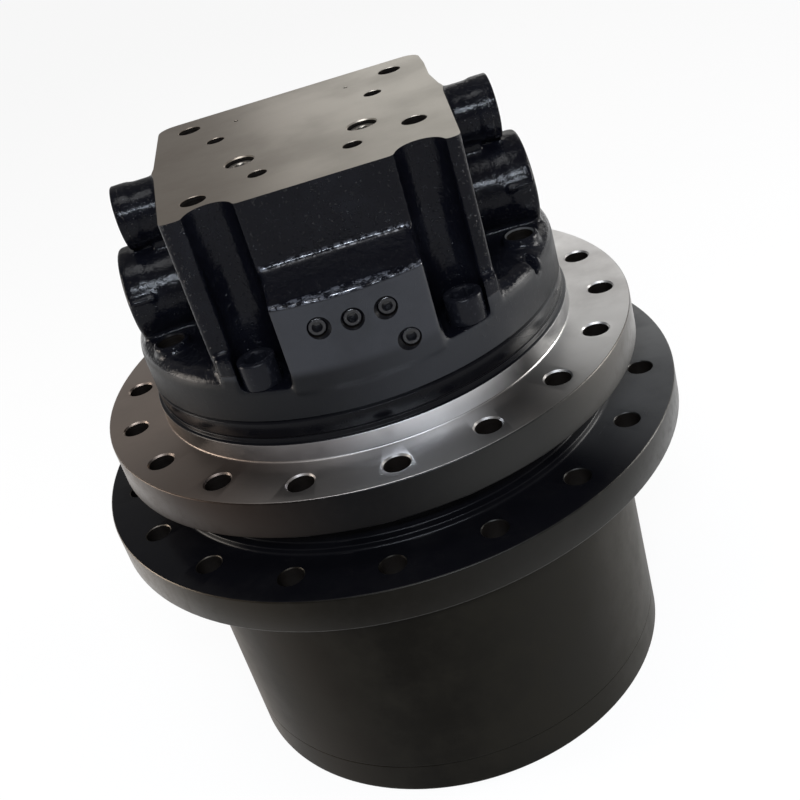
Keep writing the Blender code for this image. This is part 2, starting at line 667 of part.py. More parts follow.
def build_gear_housing(hub, finishes):
    blank_radius = RING_PITCH_RADIUS - RING_ADDENDUM - OVERRUN
    outline = [
        (blank_radius, HOUSING_BOTTOM),
        (DRUM_RADIUS, HOUSING_BOTTOM),
        (DRUM_RADIUS, SPROCKET_FLANGE_BOTTOM),
        (SPROCKET_FLANGE_RADIUS - HOUSING_EDGE, SPROCKET_FLANGE_BOTTOM),
        (SPROCKET_FLANGE_RADIUS, SPROCKET_FLANGE_BOTTOM + HOUSING_EDGE),
        (SPROCKET_FLANGE_RADIUS, SPROCKET_FLANGE_TOP - HOUSING_EDGE),
        (SPROCKET_FLANGE_RADIUS - HOUSING_EDGE, SPROCKET_FLANGE_TOP),
        (HOUSING_COLLAR_RADIUS, SPROCKET_FLANGE_TOP),
        (HOUSING_COLLAR_RADIUS, SPROCKET_FLANGE_TOP + HOUSING_COLLAR_HEIGHT),
        (LABYRINTH_OUTER_RADIUS, SPROCKET_FLANGE_TOP + HOUSING_COLLAR_HEIGHT),
        (LABYRINTH_OUTER_RADIUS, LABYRINTH_TOP),
        (LABYRINTH_INNER_RADIUS, LABYRINTH_TOP),
        (LABYRINTH_INNER_RADIUS, HOUSING_SHELF),
        (BEARING_OUTER_RADIUS, HOUSING_SHELF),
        (BEARING_OUTER_RADIUS, BEARING_BOTTOM - SEAT_GAP),
        (RING_RELIEF_RADIUS, BEARING_BOTTOM - SEAT_GAP),
        (RING_RELIEF_RADIUS, TEETH_TOP),
        (blank_radius, TEETH_TOP),
    ]
    housing = make_object("gear_housing", turned(outline, ROUND), finishes["housing_paint"], hub)
    space_tip = RING_PITCH_RADIUS + DEDENDUM
    space_root = RING_PITCH_RADIUS - RING_ADDENDUM
    spaces = gear_outline(RING_TEETH, space_tip, space_root, -TOOTH_THINNING)
    cut(housing, prism(spaces, HOUSING_BOTTOM - OVERRUN, TEETH_TOP + OVERRUN))
    cut(housing, hole_circle(
        SPROCKET_HOLE_RADIUS, SPROCKET_HOLE_CIRCLE_RADIUS, SPROCKET_HOLE_COUNT, SPROCKET_HOLE_TURN,
        SPROCKET_FLANGE_BOTTOM - OVERRUN, SPROCKET_FLANGE_TOP + OVERRUN, HOLE_ROUND))


def build_motor_casing(finishes):
    skirt_outer = BEARING_OUTER_RADIUS + SKIRT_WALL
    bearing_seat = SHAFT_RADIUS + FRONT_BEARING_WALL
    outline = [
        (SPINDLE_BORE_RADIUS, SPINDLE_END),
        (SPINDLE_THREAD_RADIUS, SPINDLE_END),
        (SPINDLE_THREAD_RADIUS, NUT_TOP + SEAT_GAP),
        (SPINDLE_SEAT_RADIUS, NUT_TOP + 2 * SEAT_GAP),
        (SPINDLE_SEAT_RADIUS, BEARING_TOP + SEAT_GAP),
        (SPINDLE_SEAL_RADIUS, BEARING_TOP + SEAT_GAP),
        (SPINDLE_SEAL_RADIUS, FRAME_FLANGE_BOTTOM),
        (BEARING_OUTER_RADIUS, FRAME_FLANGE_BOTTOM),
        (BEARING_OUTER_RADIUS, SKIRT_BOTTOM),
        (skirt_outer, SKIRT_BOTTOM),
        (skirt_outer, FRAME_FLANGE_BOTTOM),
        (FRAME_FLANGE_RADIUS - FLANGE_EDGE, FRAME_FLANGE_BOTTOM),
        (FRAME_FLANGE_RADIUS, FRAME_FLANGE_BOTTOM + FLANGE_EDGE),
        (FRAME_FLANGE_RADIUS, FRAME_FLANGE_TOP - FLANGE_EDGE),
        (FRAME_FLANGE_RADIUS - FLANGE_EDGE, FRAME_FLANGE_TOP),
        (PILOT_RADIUS, FRAME_FLANGE_TOP),
        (PILOT_RADIUS, PILOT_TOP - FLANGE_EDGE),
        (COVER_RADIUS, PILOT_TOP),
        (COVER_RADIUS, CASING_TOP),
        (CHAMBER_RADIUS, CASING_TOP),
        (CHAMBER_RADIUS, CHAMBER_FLOOR),
        (bearing_seat, CHAMBER_FLOOR),
        (bearing_seat, FRONT_BEARING_BOTTOM),
        (SPINDLE_BORE_RADIUS, FRONT_BEARING_BOTTOM),
    ]
    casing = make_object("motor_casing", turned(outline, ROUND), finishes["casing_steel"])
    cut(casing, hole_circle(
        FRAME_HOLE_RADIUS, FRAME_HOLE_CIRCLE_RADIUS, FRAME_HOLE_COUNT, FRAME_HOLE_TURN,
        FRAME_FLANGE_BOTTOM - OVERRUN, FRAME_FLANGE_TOP + OVERRUN, HOLE_ROUND))
    threads = bmesh.new()
    hole_radius = round_bore(COVER_BOLT_RADIUS, HOLE_ROUND, SEAT_GAP)
    for angle in COVER_BOLT_ANGLES:
        hole = rod(hole_radius, CASING_TOP - COVER_BOLT_GRIP - OVERRUN, CASING_TOP + OVERRUN, HOLE_ROUND)
        add_shape(threads, hole, on_circle(COVER_BOLT_CIRCLE_RADIUS, angle))
    cut(casing, threads)


def build_bearing_nut(finishes):
    bore = round_bore(SPINDLE_THREAD_RADIUS, RING_ROUND, SEAT_GAP)
    rim = SPINDLE_THREAD_RADIUS + NUT_WALL
    outline = [(bore, NUT_BOTTOM), (rim, NUT_BOTTOM), (rim, NUT_TOP), (bore, NUT_TOP)]
    nut = make_object("bearing_nut", turned(outline, RING_ROUND), finishes["gear_steel"])
    slots = bmesh.new()
    half = NUT_SLOT_WIDTH / 2
    inner = rim - NUT_SLOT_DEPTH
    outer = rim + OVERRUN
    for step in range(NUT_SLOT_COUNT):
        slot = prism([(inner, -half), (outer, -half), (outer, half), (inner, half)],
                     NUT_BOTTOM - OVERRUN, NUT_TOP + OVERRUN)
        add_shape(slots, slot, Matrix.Rotation(2 * pi * step / NUT_SLOT_COUNT, 4, "Z"))
    cut(nut, slots)


def build_main_bearings(hub, finishes):
    """Two roller bearings: each cone with its rollers stays on the spindle, and each cup turns with the hub."""
    bore = round_bore(SPINDLE_SEAT_RADIUS, RING_ROUND, SEAT_GAP)
    rim = BEARING_OUTER_RADIUS - SEAT_GAP
    track = rim - BEARING_RACE_WALL
    roller = track - BEARING_ROLLER_GAP
    for number in range(2):
        low = BEARING_BOTTOM + number * (BEARING_HEIGHT + SEAT_GAP)
        high = low + BEARING_HEIGHT
        lip = SPINDLE_SEAT_RADIUS + BEARING_CONE_WALL
        cone = [(bore, low), (lip, low), (roller, low + BEARING_ROLLER_SLOPE),
                (roller, high - BEARING_ROLLER_SLOPE), (lip, high), (bore, high)]
        cup = [(track, low), (rim, low), (rim, high), (track, high)]
        label = str(number + 1)
        make_object("main_bearing_cone_" + label, turned(cone, RING_ROUND), finishes["bearing_steel"])
        make_object("main_bearing_cup_" + label, turned(cup, RING_ROUND), finishes["bearing_steel"], hub)


def build_floating_seal(hub, finishes):
    """Two equal metal rings, face to face: one sits in the casing's skirt, the other turns in the housing."""
    inner = round_bore(SPINDLE_SEAL_RADIUS, RING_ROUND, SEAL_INNER_CLEARANCE)
    face = inner + SEAL_FACE_WIDTH
    rim = BEARING_OUTER_RADIUS - SEAT_GAP
    shelf = rim - SEAL_SHELF
    half_gap = SEAT_GAP / 2
    for name, side, parent in (("floating_seal_casing", 1, None), ("floating_seal_housing", -1, hub)):
        near = SEAL_FACE + side * half_gap
        far = near + side * SEAL_RING_HEIGHT
        outline = [(inner, near), (face, near), (rim, near + side * SEAL_STEP), (rim, far),
                   (shelf, far), (inner, (near + far) / 2)]
        make_object(name, turned(outline, RING_ROUND), finishes["bearing_steel"], parent)


def build_planets(count, teeth, centre, bottom, top, pin_radius, name, finishes, parent):
    bore = round_bore(pin_radius, BORE_ROUND, RUN_GAP)
    for number in range(count):
        angle = 2 * pi * number / count
        spot = (centre * cos(angle), centre * sin(angle), 0)
        planet = make_object(name + "_" + str(number + 1), outer_gear(teeth, bottom, top),
                             finishes["gear_steel"], parent, spot, planet_turn(angle, teeth))
        cut(planet, rod(bore, bottom - OVERRUN, top + OVERRUN, BORE_ROUND))


def build_stage_1(carrier_axis, input_axis, finishes):
    pin_reach = STAGE_1_CENTRE
    lobe = PIN_1_RADIUS + PIN_1_LOBE_WALL
    plate = lobed_plate(PLANET_1_COUNT, pin_reach, lobe, CARRIER_1_BOTTOM, CARRIER_1_TOP)
    carrier = make_object("carrier_1", plate, finishes["gear_steel"], carrier_axis)
    pins = bmesh.new()
    for number in range(PLANET_1_COUNT):
        pin = rod(PIN_1_RADIUS, STAGE_1_BOTTOM, CARRIER_1_TOP - JOIN_SHARE * CARRIER_1_HEIGHT, BORE_ROUND)
        add_shape(pins, pin, on_circle(pin_reach, 2 * pi * number / PLANET_1_COUNT))
    unite(carrier, pins)
    journal = SUN_1_STEM_RADIUS + SUN_1_STEM_CLEARANCE + SUN_2_JOURNAL_WALL
    bore = round_bore(journal, BORE_ROUND, SEAT_GAP)
    cut(carrier, rod(bore, CARRIER_1_BOTTOM - OVERRUN, CARRIER_1_TOP + OVERRUN, BORE_ROUND))
    build_planets(PLANET_1_COUNT, PLANET_1_TEETH, STAGE_1_CENTRE, STAGE_1_BOTTOM, STAGE_1_TOP,
                  PIN_1_RADIUS, "planet_gear_1", finishes, carrier_axis)
    sun = make_object("sun_gear_1", outer_gear(SUN_1_TEETH, STAGE_1_BOTTOM, STAGE_1_TOP),
                      finishes["gear_steel"], input_axis, (0, 0, 0), sun_turn(PLANET_1_TEETH, SUN_1_TEETH))
    stem_top = SHAFT_BOTTOM + SUN_1_SPLINE_LENGTH
    unite(sun, rod(SUN_1_STEM_RADIUS, STAGE_1_BOTTOM + JOIN_SHARE * STAGE_1_WIDTH, stem_top, BORE_ROUND))


def build_stage_2(carrier_axis, finishes):
    rim = STAGE_2_CENTRE + PIN_2_RADIUS + CARRIER_2_RIM
    outline = [(SPINDLE_BORE_RADIUS, CARRIER_2_BOTTOM), (rim, CARRIER_2_BOTTOM),
               (rim, CARRIER_2_TOP), (SPINDLE_BORE_RADIUS, CARRIER_2_TOP)]
    carrier = make_object("carrier_2", turned(outline, RING_ROUND), finishes["gear_steel"])
    pins = bmesh.new()
    for number in range(PLANET_2_COUNT):
        pin = rod(PIN_2_RADIUS, STAGE_2_BOTTOM, CARRIER_2_TOP - JOIN_SHARE * CARRIER_2_HEIGHT, BORE_ROUND)
        add_shape(pins, pin, on_circle(STAGE_2_CENTRE, 2 * pi * number / PLANET_2_COUNT))
    unite(carrier, pins)
    build_planets(PLANET_2_COUNT, PLANET_2_TEETH, STAGE_2_CENTRE, STAGE_2_BOTTOM, STAGE_2_TOP,
                  PIN_2_RADIUS, "planet_gear_2", finishes, None)
    sun = make_object("sun_gear_2", outer_gear(SUN_2_TEETH, STAGE_2_BOTTOM, STAGE_2_TOP),
                      finishes["gear_steel"], carrier_axis, (0, 0, 0), sun_turn(PLANET_2_TEETH, SUN_2_TEETH))
    bore = SUN_1_STEM_RADIUS + SUN_1_STEM_CLEARANCE
    journal = bore + SUN_2_JOURNAL_WALL
    unite(sun, rod(journal, CARRIER_1_BOTTOM, STAGE_2_BOTTOM + JOIN_SHARE * STAGE_2_WIDTH, BORE_ROUND))
    cut(sun, rod(bore, CARRIER_1_BOTTOM - OVERRUN, STAGE_2_TOP + OVERRUN, BORE_ROUND))


def build_motor_shaft(input_axis, finishes):
    socket = round_bore(SUN_1_STEM_RADIUS, BORE_ROUND, SEAT_GAP)
    socket_top = SHAFT_BOTTOM + SUN_1_SPLINE_LENGTH + SEAT_GAP
    neck = BLOCK_BOTTOM - BLOCK_STANDOFF
    outline = [
        (0, socket_top),
        (socket, socket_top),
        (socket, SHAFT_BOTTOM),
        (SHAFT_RADIUS, SHAFT_BOTTOM),
        (SHAFT_RADIUS, neck),
        (SHAFT_SPLINE_RADIUS, neck),
        (SHAFT_SPLINE_RADIUS, BLOCK_TOP),
        (SHAFT_TAIL_RADIUS, VALVE_PLATE_TOP),
        (SHAFT_TAIL_RADIUS, SHAFT_TOP),
        (0, SHAFT_TOP),
    ]
    make_object("motor_shaft", turned(outline, BORE_ROUND), finishes["gear_steel"], input_axis)
    front_bore = round_bore(SHAFT_RADIUS, BORE_ROUND, SEAT_GAP)
    front_rim = SHAFT_RADIUS + FRONT_BEARING_WALL - SEAT_GAP
    front_top = FRONT_BEARING_BOTTOM + FRONT_BEARING_HEIGHT
    front_low = FRONT_BEARING_BOTTOM + SEAT_GAP
    front = [(front_bore, front_low), (front_rim, front_low), (front_rim, front_top), (front_bore, front_top)]
    make_object("shaft_bearing_front", turned(front, RING_ROUND), finishes["bearing_steel"])
    rear_bore = round_bore(SHAFT_TAIL_RADIUS, BORE_ROUND, SEAT_GAP)
    rear_rim = SHAFT_TAIL_RADIUS + REAR_BEARING_WALL
    rear_top = COVER_SPIGOT_BOTTOM + REAR_BEARING_HEIGHT
    rear = [(rear_bore, COVER_SPIGOT_BOTTOM), (rear_rim, COVER_SPIGOT_BOTTOM), (rear_rim, rear_top),
            (rear_bore, rear_top)]
    make_object("shaft_bearing_rear", turned(rear, BORE_ROUND), finishes["bearing_steel"])


def build_rotating_group(input_axis, finishes):
    bore = round_bore(SHAFT_SPLINE_RADIUS, BORE_ROUND, SEAT_GAP)
    rim = BLOCK_RADIUS
    outline = [(bore, BLOCK_BOTTOM), (rim - BLOCK_EDGE, BLOCK_BOTTOM), (rim, BLOCK_BOTTOM + BLOCK_EDGE),
               (rim, BLOCK_TOP - BLOCK_EDGE), (rim - BLOCK_EDGE, BLOCK_TOP), (bore, BLOCK_TOP)]
    block = make_object("cylinder_block", turned(outline, BORE_ROUND), finishes["gear_steel"], input_axis)
    cylinder = round_bore(PISTON_RADIUS, SMALL_ROUND, SEAT_GAP)
    cut(block, hole_circle(cylinder, PISTON_CIRCLE_RADIUS, PISTON_COUNT, 0,
                           BLOCK_BOTTOM - OVERRUN, BLOCK_TOP - BLOCK_BORE_CROWN, SMALL_ROUND))
    retainer = make_object("retainer_plate", turned([
        (RETAINER_BORE_RADIUS, RETAINER_BOTTOM), (RETAINER_RADIUS, RETAINER_BOTTOM),
        (RETAINER_RADIUS, RETAINER_BOTTOM + RETAINER_HEIGHT),
        (RETAINER_BORE_RADIUS, RETAINER_BOTTOM + RETAINER_HEIGHT)], BORE_ROUND), finishes["gear_steel"], input_axis)
    cut(retainer, hole_circle(PISTON_NECK_RADIUS + RETAINER_NECK_CLEARANCE, PISTON_CIRCLE_RADIUS, PISTON_COUNT, 0,
                              RETAINER_BOTTOM - OVERRUN, RETAINER_BOTTOM + RETAINER_HEIGHT + OVERRUN, SMALL_ROUND))
    piston = [
        (0, SLIPPER_BOTTOM),
        (SLIPPER_RADIUS, SLIPPER_BOTTOM),
        (SLIPPER_RADIUS, SLIPPER_TOP),
        (PISTON_NECK_RADIUS, SLIPPER_TOP),
        (PISTON_NECK_RADIUS, PISTON_BODY_BOTTOM),
        (PISTON_RADIUS, PISTON_BODY_BOTTOM),
        (PISTON_RADIUS, PISTON_BODY_BOTTOM + PISTON_LENGTH),
        (0, PISTON_BODY_BOTTOM + PISTON_LENGTH),
    ]
    for number in range(PISTON_COUNT):
        angle = 2 * pi * number / PISTON_COUNT
        spot = (PISTON_CIRCLE_RADIUS * cos(angle), PISTON_CIRCLE_RADIUS * sin(angle), 0)
        make_object("piston_" + str(number + 1), turned(piston, SMALL_ROUND), finishes["gear_steel"],
                    input_axis, spot, angle)


def build_swash_and_valve_plates(finishes):
    swash = [(SWASH_PLATE_BORE_RADIUS, SWASH_BOTTOM), (SWASH_PLATE_RADIUS, SWASH_BOTTOM),
             (SWASH_PLATE_RADIUS, SWASH_TOP), (SWASH_PLATE_BORE_RADIUS, SWASH_TOP)]
    make_object("swash_plate", turned(swash, RING_ROUND), finishes["gear_steel"])
    plate = make_object("valve_plate", turned([
        (VALVE_PLATE_BORE_RADIUS, VALVE_PLATE_BOTTOM), (VALVE_PLATE_RADIUS, VALVE_PLATE_BOTTOM),
        (VALVE_PLATE_RADIUS, VALVE_PLATE_TOP), (VALVE_PLATE_BORE_RADIUS, VALVE_PLATE_TOP)], RING_ROUND),
        finishes["bronze"])
    inner = PISTON_CIRCLE_RADIUS - KIDNEY_HALF_WIDTH
    outer = PISTON_CIRCLE_RADIUS + KIDNEY_HALF_WIDTH
    slots = bmesh.new()
    for middle in (0, pi):
        start = middle - KIDNEY_HALF_SPAN
        end = middle + KIDNEY_HALF_SPAN
        outline = arc((0, 0), outer, start, end, KIDNEY_STEPS) + arc((0, 0), inner, end, start, KIDNEY_STEPS)
        add_shape(slots, prism(outline, VALVE_PLATE_BOTTOM - OVERRUN, VALVE_PLATE_TOP + OVERRUN))
    cut(plate, slots)


def build_brake(input_axis, brake_axis, finishes):
    rim = CHAMBER_RADIUS - SEAT_GAP
    inner = rim - BRAKE_PISTON_WALL
    disc_rim = CHAMBER_RADIUS - BRAKE_DISC_RIM_GAP
    disc_bore = round_bore(BLOCK_RADIUS, RING_ROUND, SEAT_GAP)
    rings = [
        ("brake_disc", disc_bore, disc_rim, BRAKE_DISC_BOTTOM, BRAKE_DISC_HEIGHT, "bronze", input_axis),
        ("brake_plate", inner, rim, BRAKE_PLATE_BOTTOM, BRAKE_DISC_HEIGHT, "gear_steel", None),
        ("brake_piston", inner, rim, BRAKE_PISTON_BOTTOM, BRAKE_PISTON_HEIGHT, "gear_steel", brake_axis),
    ]
    for name, bore, edge, low, height, finish, parent in rings:
        outline = [(bore, low), (edge, low), (edge, low + height), (bore, low + height)]
        make_object(name, turned(outline, RING_ROUND), finishes[finish], parent)


def block_outline():
    """Plan of the rear cover's upright block, counter-clockwise from its front left corner."""
    corner = BLOCK_BACK_CORNER
    front = BLOCK_FRONT_CORNER
    back = BLOCK_BACK - corner
    side = BLOCK_SIDE - corner
    fore = BLOCK_FRONT_SIDE - front
    nose = front - BLOCK_FRONT
    waist, full = BLOCK_WAIST_SHARES
    points = arc((-fore, nose), front, -pi, -pi / 2, 2)
    points += arc((fore, nose), front, -pi / 2, 0, 2)
    points += [(BLOCK_SIDE, 0), (BLOCK_SIDE - BLOCK_WAIST, waist * BLOCK_BACK)]
    points += [(BLOCK_SIDE, full * BLOCK_BACK)]
    points += arc((side, back), corner, 0, pi / 2, BLOCK_CORNER_STEPS)
    points += arc((-side, back), corner, pi / 2, pi, BLOCK_CORNER_STEPS)
    points += [(-BLOCK_SIDE, 0)]
    return points


def panel_outline():
    """Plan of the front panel, a sector of the cover's round foot that reaches into the block."""
    start = acos(PANEL_LEFT / PANEL_RADIUS)
    end = -acos(PANEL_RIGHT / PANEL_RADIUS)
    edge = arc((0, 0), PANEL_RADIUS, start - pi, end, PANEL_STEPS)
    root = BLOCK_BACK - BLOCK_FRONT
    return edge + [(PANEL_RIGHT, root), (-PANEL_LEFT, root)]


def ledge_slope():
    """The slope from the block's front down to the panel's top edge, as a bar across the panel."""
    root = LEDGE_RISE - BLOCK_FRONT
    toe = SEAT_GAP - sqrt(PANEL_RADIUS ** 2 - PANEL_RIGHT ** 2)
    floor = PANEL_TOP - LEDGE_RISE
    outline = [(root, floor), (root, PANEL_TOP + LEDGE_RISE), (-BLOCK_FRONT, PANEL_TOP + LEDGE_RISE)]
    outline += [(toe, PANEL_TOP), (toe, floor)]
    bar = prism(outline, -PANEL_LEFT, PANEL_RIGHT)
    return place_shape(bar, Matrix(((0, 0, 1, 0), (1, 0, 0, 0), (0, 1, 0, 0), (0, 0, 0, 1))))


def front_pocket(angle):
    """Centre and half width of the pocket round the front cover bolt at this angle."""
    x = COVER_BOLT_CIRCLE_RADIUS * cos(angle)
    y = COVER_BOLT_CIRCLE_RADIUS * sin(angle)
    side = x / abs(x)
    return side, x - side * POCKET_OFFSET, y + POCKET_SETBACK, COVER_BOLT_HEAD_RADIUS + POCKET_CLEARANCE


def pocket_outline(angle):
    """Plan of a front pocket: a round back and straight sides that run out through the cover's front."""
    side, x, y, half = front_pocket(angle)
    reach = -PANEL_RADIUS - OVERRUN
    return arc((x, y), half, 0, pi, POCKET_STEPS) + [(x - half, reach), (x + half, reach)]


def rib_foot(angle):
    """The foot of the rib outside a front pocket: it runs out to the rim of the cover's round foot."""
    side, x, y, half = front_pocket(angle)
    near = x + side * (half - SEAT_GAP)
    far = near + side * RIB_FOOT_WIDTH
    rim = [(place, -sqrt((COVER_RADIUS - SEAT_GAP) ** 2 - place ** 2)) for place in (near, far)]
    outline = rim + [(far, LEDGE_RISE - BLOCK_FRONT), (near, LEDGE_RISE - BLOCK_FRONT)]
    return prism(outline, POCKET_FLOOR, COVER_BOTTOM + RIB_FOOT_RISE)


def build_rear_cover(finishes):
    spigot = CHAMBER_RADIUS - COVER_SPIGOT_GAP
    groove = COVER_BOTTOM + COVER_GROOVE_RISE
    bearing_bore = round_bore(SHAFT_TAIL_RADIUS + REAR_BEARING_WALL, BORE_ROUND, SEAT_GAP)
    bearing_top = SHAFT_TOP + SEAT_GAP
    foot = COVER_SHOULDER - COVER_SHOULDER_ROUND
    brow = (COVER_RADIUS - COVER_SHOULDER_ROUND, foot)
    shoulder = arc(brow, COVER_SHOULDER_ROUND, 0, pi / 2, COVER_SHOULDER_STEPS)
    outline = [
        (0, bearing_top),
        (bearing_bore, bearing_top),
        (bearing_bore, COVER_SPIGOT_BOTTOM),
        (spigot, COVER_SPIGOT_BOTTOM),
        (spigot, COVER_BOTTOM),
        (COVER_RADIUS, COVER_BOTTOM),
        (COVER_RADIUS, groove),
        (COVER_RADIUS - COVER_GROOVE_DEPTH, groove + COVER_GROOVE_WIDTH / 2),
        (COVER_RADIUS, groove + COVER_GROOVE_WIDTH),
    ]
    outline += shoulder + [(0, COVER_SHOULDER)]
    cover = make_object("rear_cover", turned(outline, ROUND), finishes["cover_paint"])
    unite(cover, prism(block_outline(), foot, COVER_TOP))
    unite(cover, prism(panel_outline(), foot, PANEL_TOP))
    unite(cover, ledge_slope())
    for angle in COVER_BOLT_ANGLES[:2]:
        unite(cover, rib_foot(angle))
    mouth = COVER_SHOULDER + DRAIN_PORT_RIM_HEIGHT
    for angle in DRAIN_PORT_ANGLES:
        rim = rod(DRAIN_PORT_RADIUS + DRAIN_PORT_RIM, foot, mouth, HOLE_ROUND)
        unite(cover, place_shape(rim, on_circle(DRAIN_PORT_CIRCLE_RADIUS, angle)))
    unite_bosses(cover)
    cut_cover_pockets(cover)
    cut_cover_bores(cover)
    cut_cover_holes(cover)


def unite_bosses(cover):
    """The spool's boss and the relief valves' boss, both across the cover, with a web between them."""
    spool_boss = rod(SPOOL_BOSS_RADIUS, -SPOOL_BOSS_REACH, SPOOL_BOSS_REACH, BOSS_ROUND, CUTTER_TURN)
    unite(cover, place_shape(spool_boss, along_x(0, SPOOL_BOSS_Y, SPOOL_Z)))
    relief_boss = rod(RELIEF_BOSS_RADIUS, -RELIEF_BOSS_REACH, RELIEF_BOSS_REACH, BOSS_ROUND, CUTTER_TURN)
    unite(cover, place_shape(relief_boss, along_x(0, RELIEF_BOSS_Y, RELIEF_Z)))
    low = SPOOL_BOSS_Y - BOSS_WEB_HALF_WIDTH
    high = SPOOL_BOSS_Y + BOSS_WEB_HALF_WIDTH
    plan = [(-BOSS_WEB_REACH, low), (BOSS_WEB_REACH, low), (BOSS_WEB_REACH, high), (-BOSS_WEB_REACH, high)]
    unite(cover, prism(plan, SPOOL_Z, RELIEF_Z))


def cut_cover_pockets(cover):
    pockets = bmesh.new()
    for angle in COVER_BOLT_ANGLES[:2]:
        add_shape(pockets, prism(pocket_outline(angle), POCKET_FLOOR, COVER_TOP + OVERRUN))
    spot_radius = COVER_BOLT_HEAD_RADIUS + COVER_BOLT_SPOT_GAP
    for angle in COVER_BOLT_ANGLES[2:]:
        spot = rod(spot_radius, POCKET_FLOOR, COVER_TOP + OVERRUN, HOLE_ROUND)
        add_shape(pockets, spot, on_circle(COVER_BOLT_CIRCLE_RADIUS, angle))
    cut(cover, pockets)


def cut_cover_bores(cover):
    """The spool's bore with its cap seats, and the two relief valve bores, all across the cover."""
    bore = round_bore(SPOOL_RADIUS, BOSS_ROUND, RUN_GAP)
    seat = round_bore(SPOOL_CAP_RADIUS, BOSS_ROUND, SEAT_GAP)
    reach = SPOOL_BOSS_REACH + OVERRUN
    step = SPOOL_BOSS_REACH - SPOOL_CAP_RECESS - SPOOL_CAP_LENGTH - SEAT_GAP
    outline = [(0, -reach), (seat, -reach), (seat, -step), (bore, -step),
               (bore, step), (seat, step), (seat, reach), (0, reach)]
    across = turned(outline, BOSS_ROUND, CUTTER_TURN)
    cut(cover, place_shape(across, along_x(0, SPOOL_BOSS_Y, SPOOL_Z)))
    seats = bmesh.new()
    relief = round_bore(RELIEF_BODY_RADIUS, HOLE_ROUND, SEAT_GAP)
    relief_depth = RELIEF_BODY_LENGTH + SEAT_GAP
    for side in (-1, 1):
        add_shape(seats, rod(relief, -relief_depth, OVERRUN, HOLE_ROUND, CUTTER_TURN),
                  along_x(side * RELIEF_BOSS_REACH, RELIEF_BOSS_Y, RELIEF_Z, side))
    cut(cover, seats)


def cut_cover_holes(cover):
    holes = bmesh.new()
    bolt_hole = round_bore(COVER_BOLT_RADIUS, HOLE_ROUND, SEAT_GAP)
    for angle in COVER_BOLT_ANGLES:
        hole = rod(bolt_hole, COVER_BOTTOM - OVERRUN, POCKET_FLOOR + OVERRUN, HOLE_ROUND, CUTTER_TURN)
        add_shape(holes, hole, on_circle(COVER_BOLT_CIRCLE_RADIUS, angle))
    drain = round_bore(DRAIN_PORT_RADIUS - SEAT_GAP, HOLE_ROUND, SEAT_GAP)
    for angle in DRAIN_PORT_ANGLES:
        mouth = COVER_SHOULDER + DRAIN_PORT_RIM_HEIGHT + OVERRUN
        hole = rod(drain, COVER_SHOULDER - DRAIN_PORT_DEPTH, mouth, HOLE_ROUND, CUTTER_TURN)
        add_shape(holes, hole, on_circle(DRAIN_PORT_CIRCLE_RADIUS, angle))
    plug_bore = round_bore(PORT_PLUG_RADIUS - SEAT_GAP, HOLE_ROUND, SEAT_GAP)
    groups = [
        (LARGE_HOLE_PLACES, LARGE_HOLE_RADIUS, LARGE_HOLE_DEPTH, HOLE_ROUND),
        (SMALL_HOLE_PLACES, SMALL_HOLE_RADIUS, SMALL_HOLE_DEPTH, SMALL_ROUND),
        (PORT_PLUG_PLACES, plug_bore, PORT_PLUG_HOLE_DEPTH, HOLE_ROUND),
    ]
    for places, radius, depth, facets in groups:
        for x, y in places:
            hole = rod(radius, COVER_TOP - depth, COVER_TOP + OVERRUN, facets, CUTTER_TURN)
            add_shape(holes, hole, Matrix.Translation((x, y, 0)))
    gauge = round_bore(GAUGE_PLUG_RADIUS, HOLE_ROUND, SEAT_GAP)
    for x, drop in GAUGE_PLUG_PLACES:
        depth = GAUGE_PLUG_LENGTH + GAUGE_PLUG_SETBACK + SEAT_GAP
        hole = rod(gauge, 0, depth + OVERRUN, HOLE_ROUND, CUTTER_TURN)
        add_shape(holes, hole, facing_front(x, COVER_TOP + drop, depth))
    cut(cover, holes)


def facing_front(x, z, depth):
    """Points a shape that stands on Z out through the round front of the cover, from the given depth."""
    surface = -sqrt(PANEL_RADIUS ** 2 - x ** 2)
    return Matrix.Translation((x, surface + depth, z)) @ Matrix.Rotation(pi / 2, 4, "X")


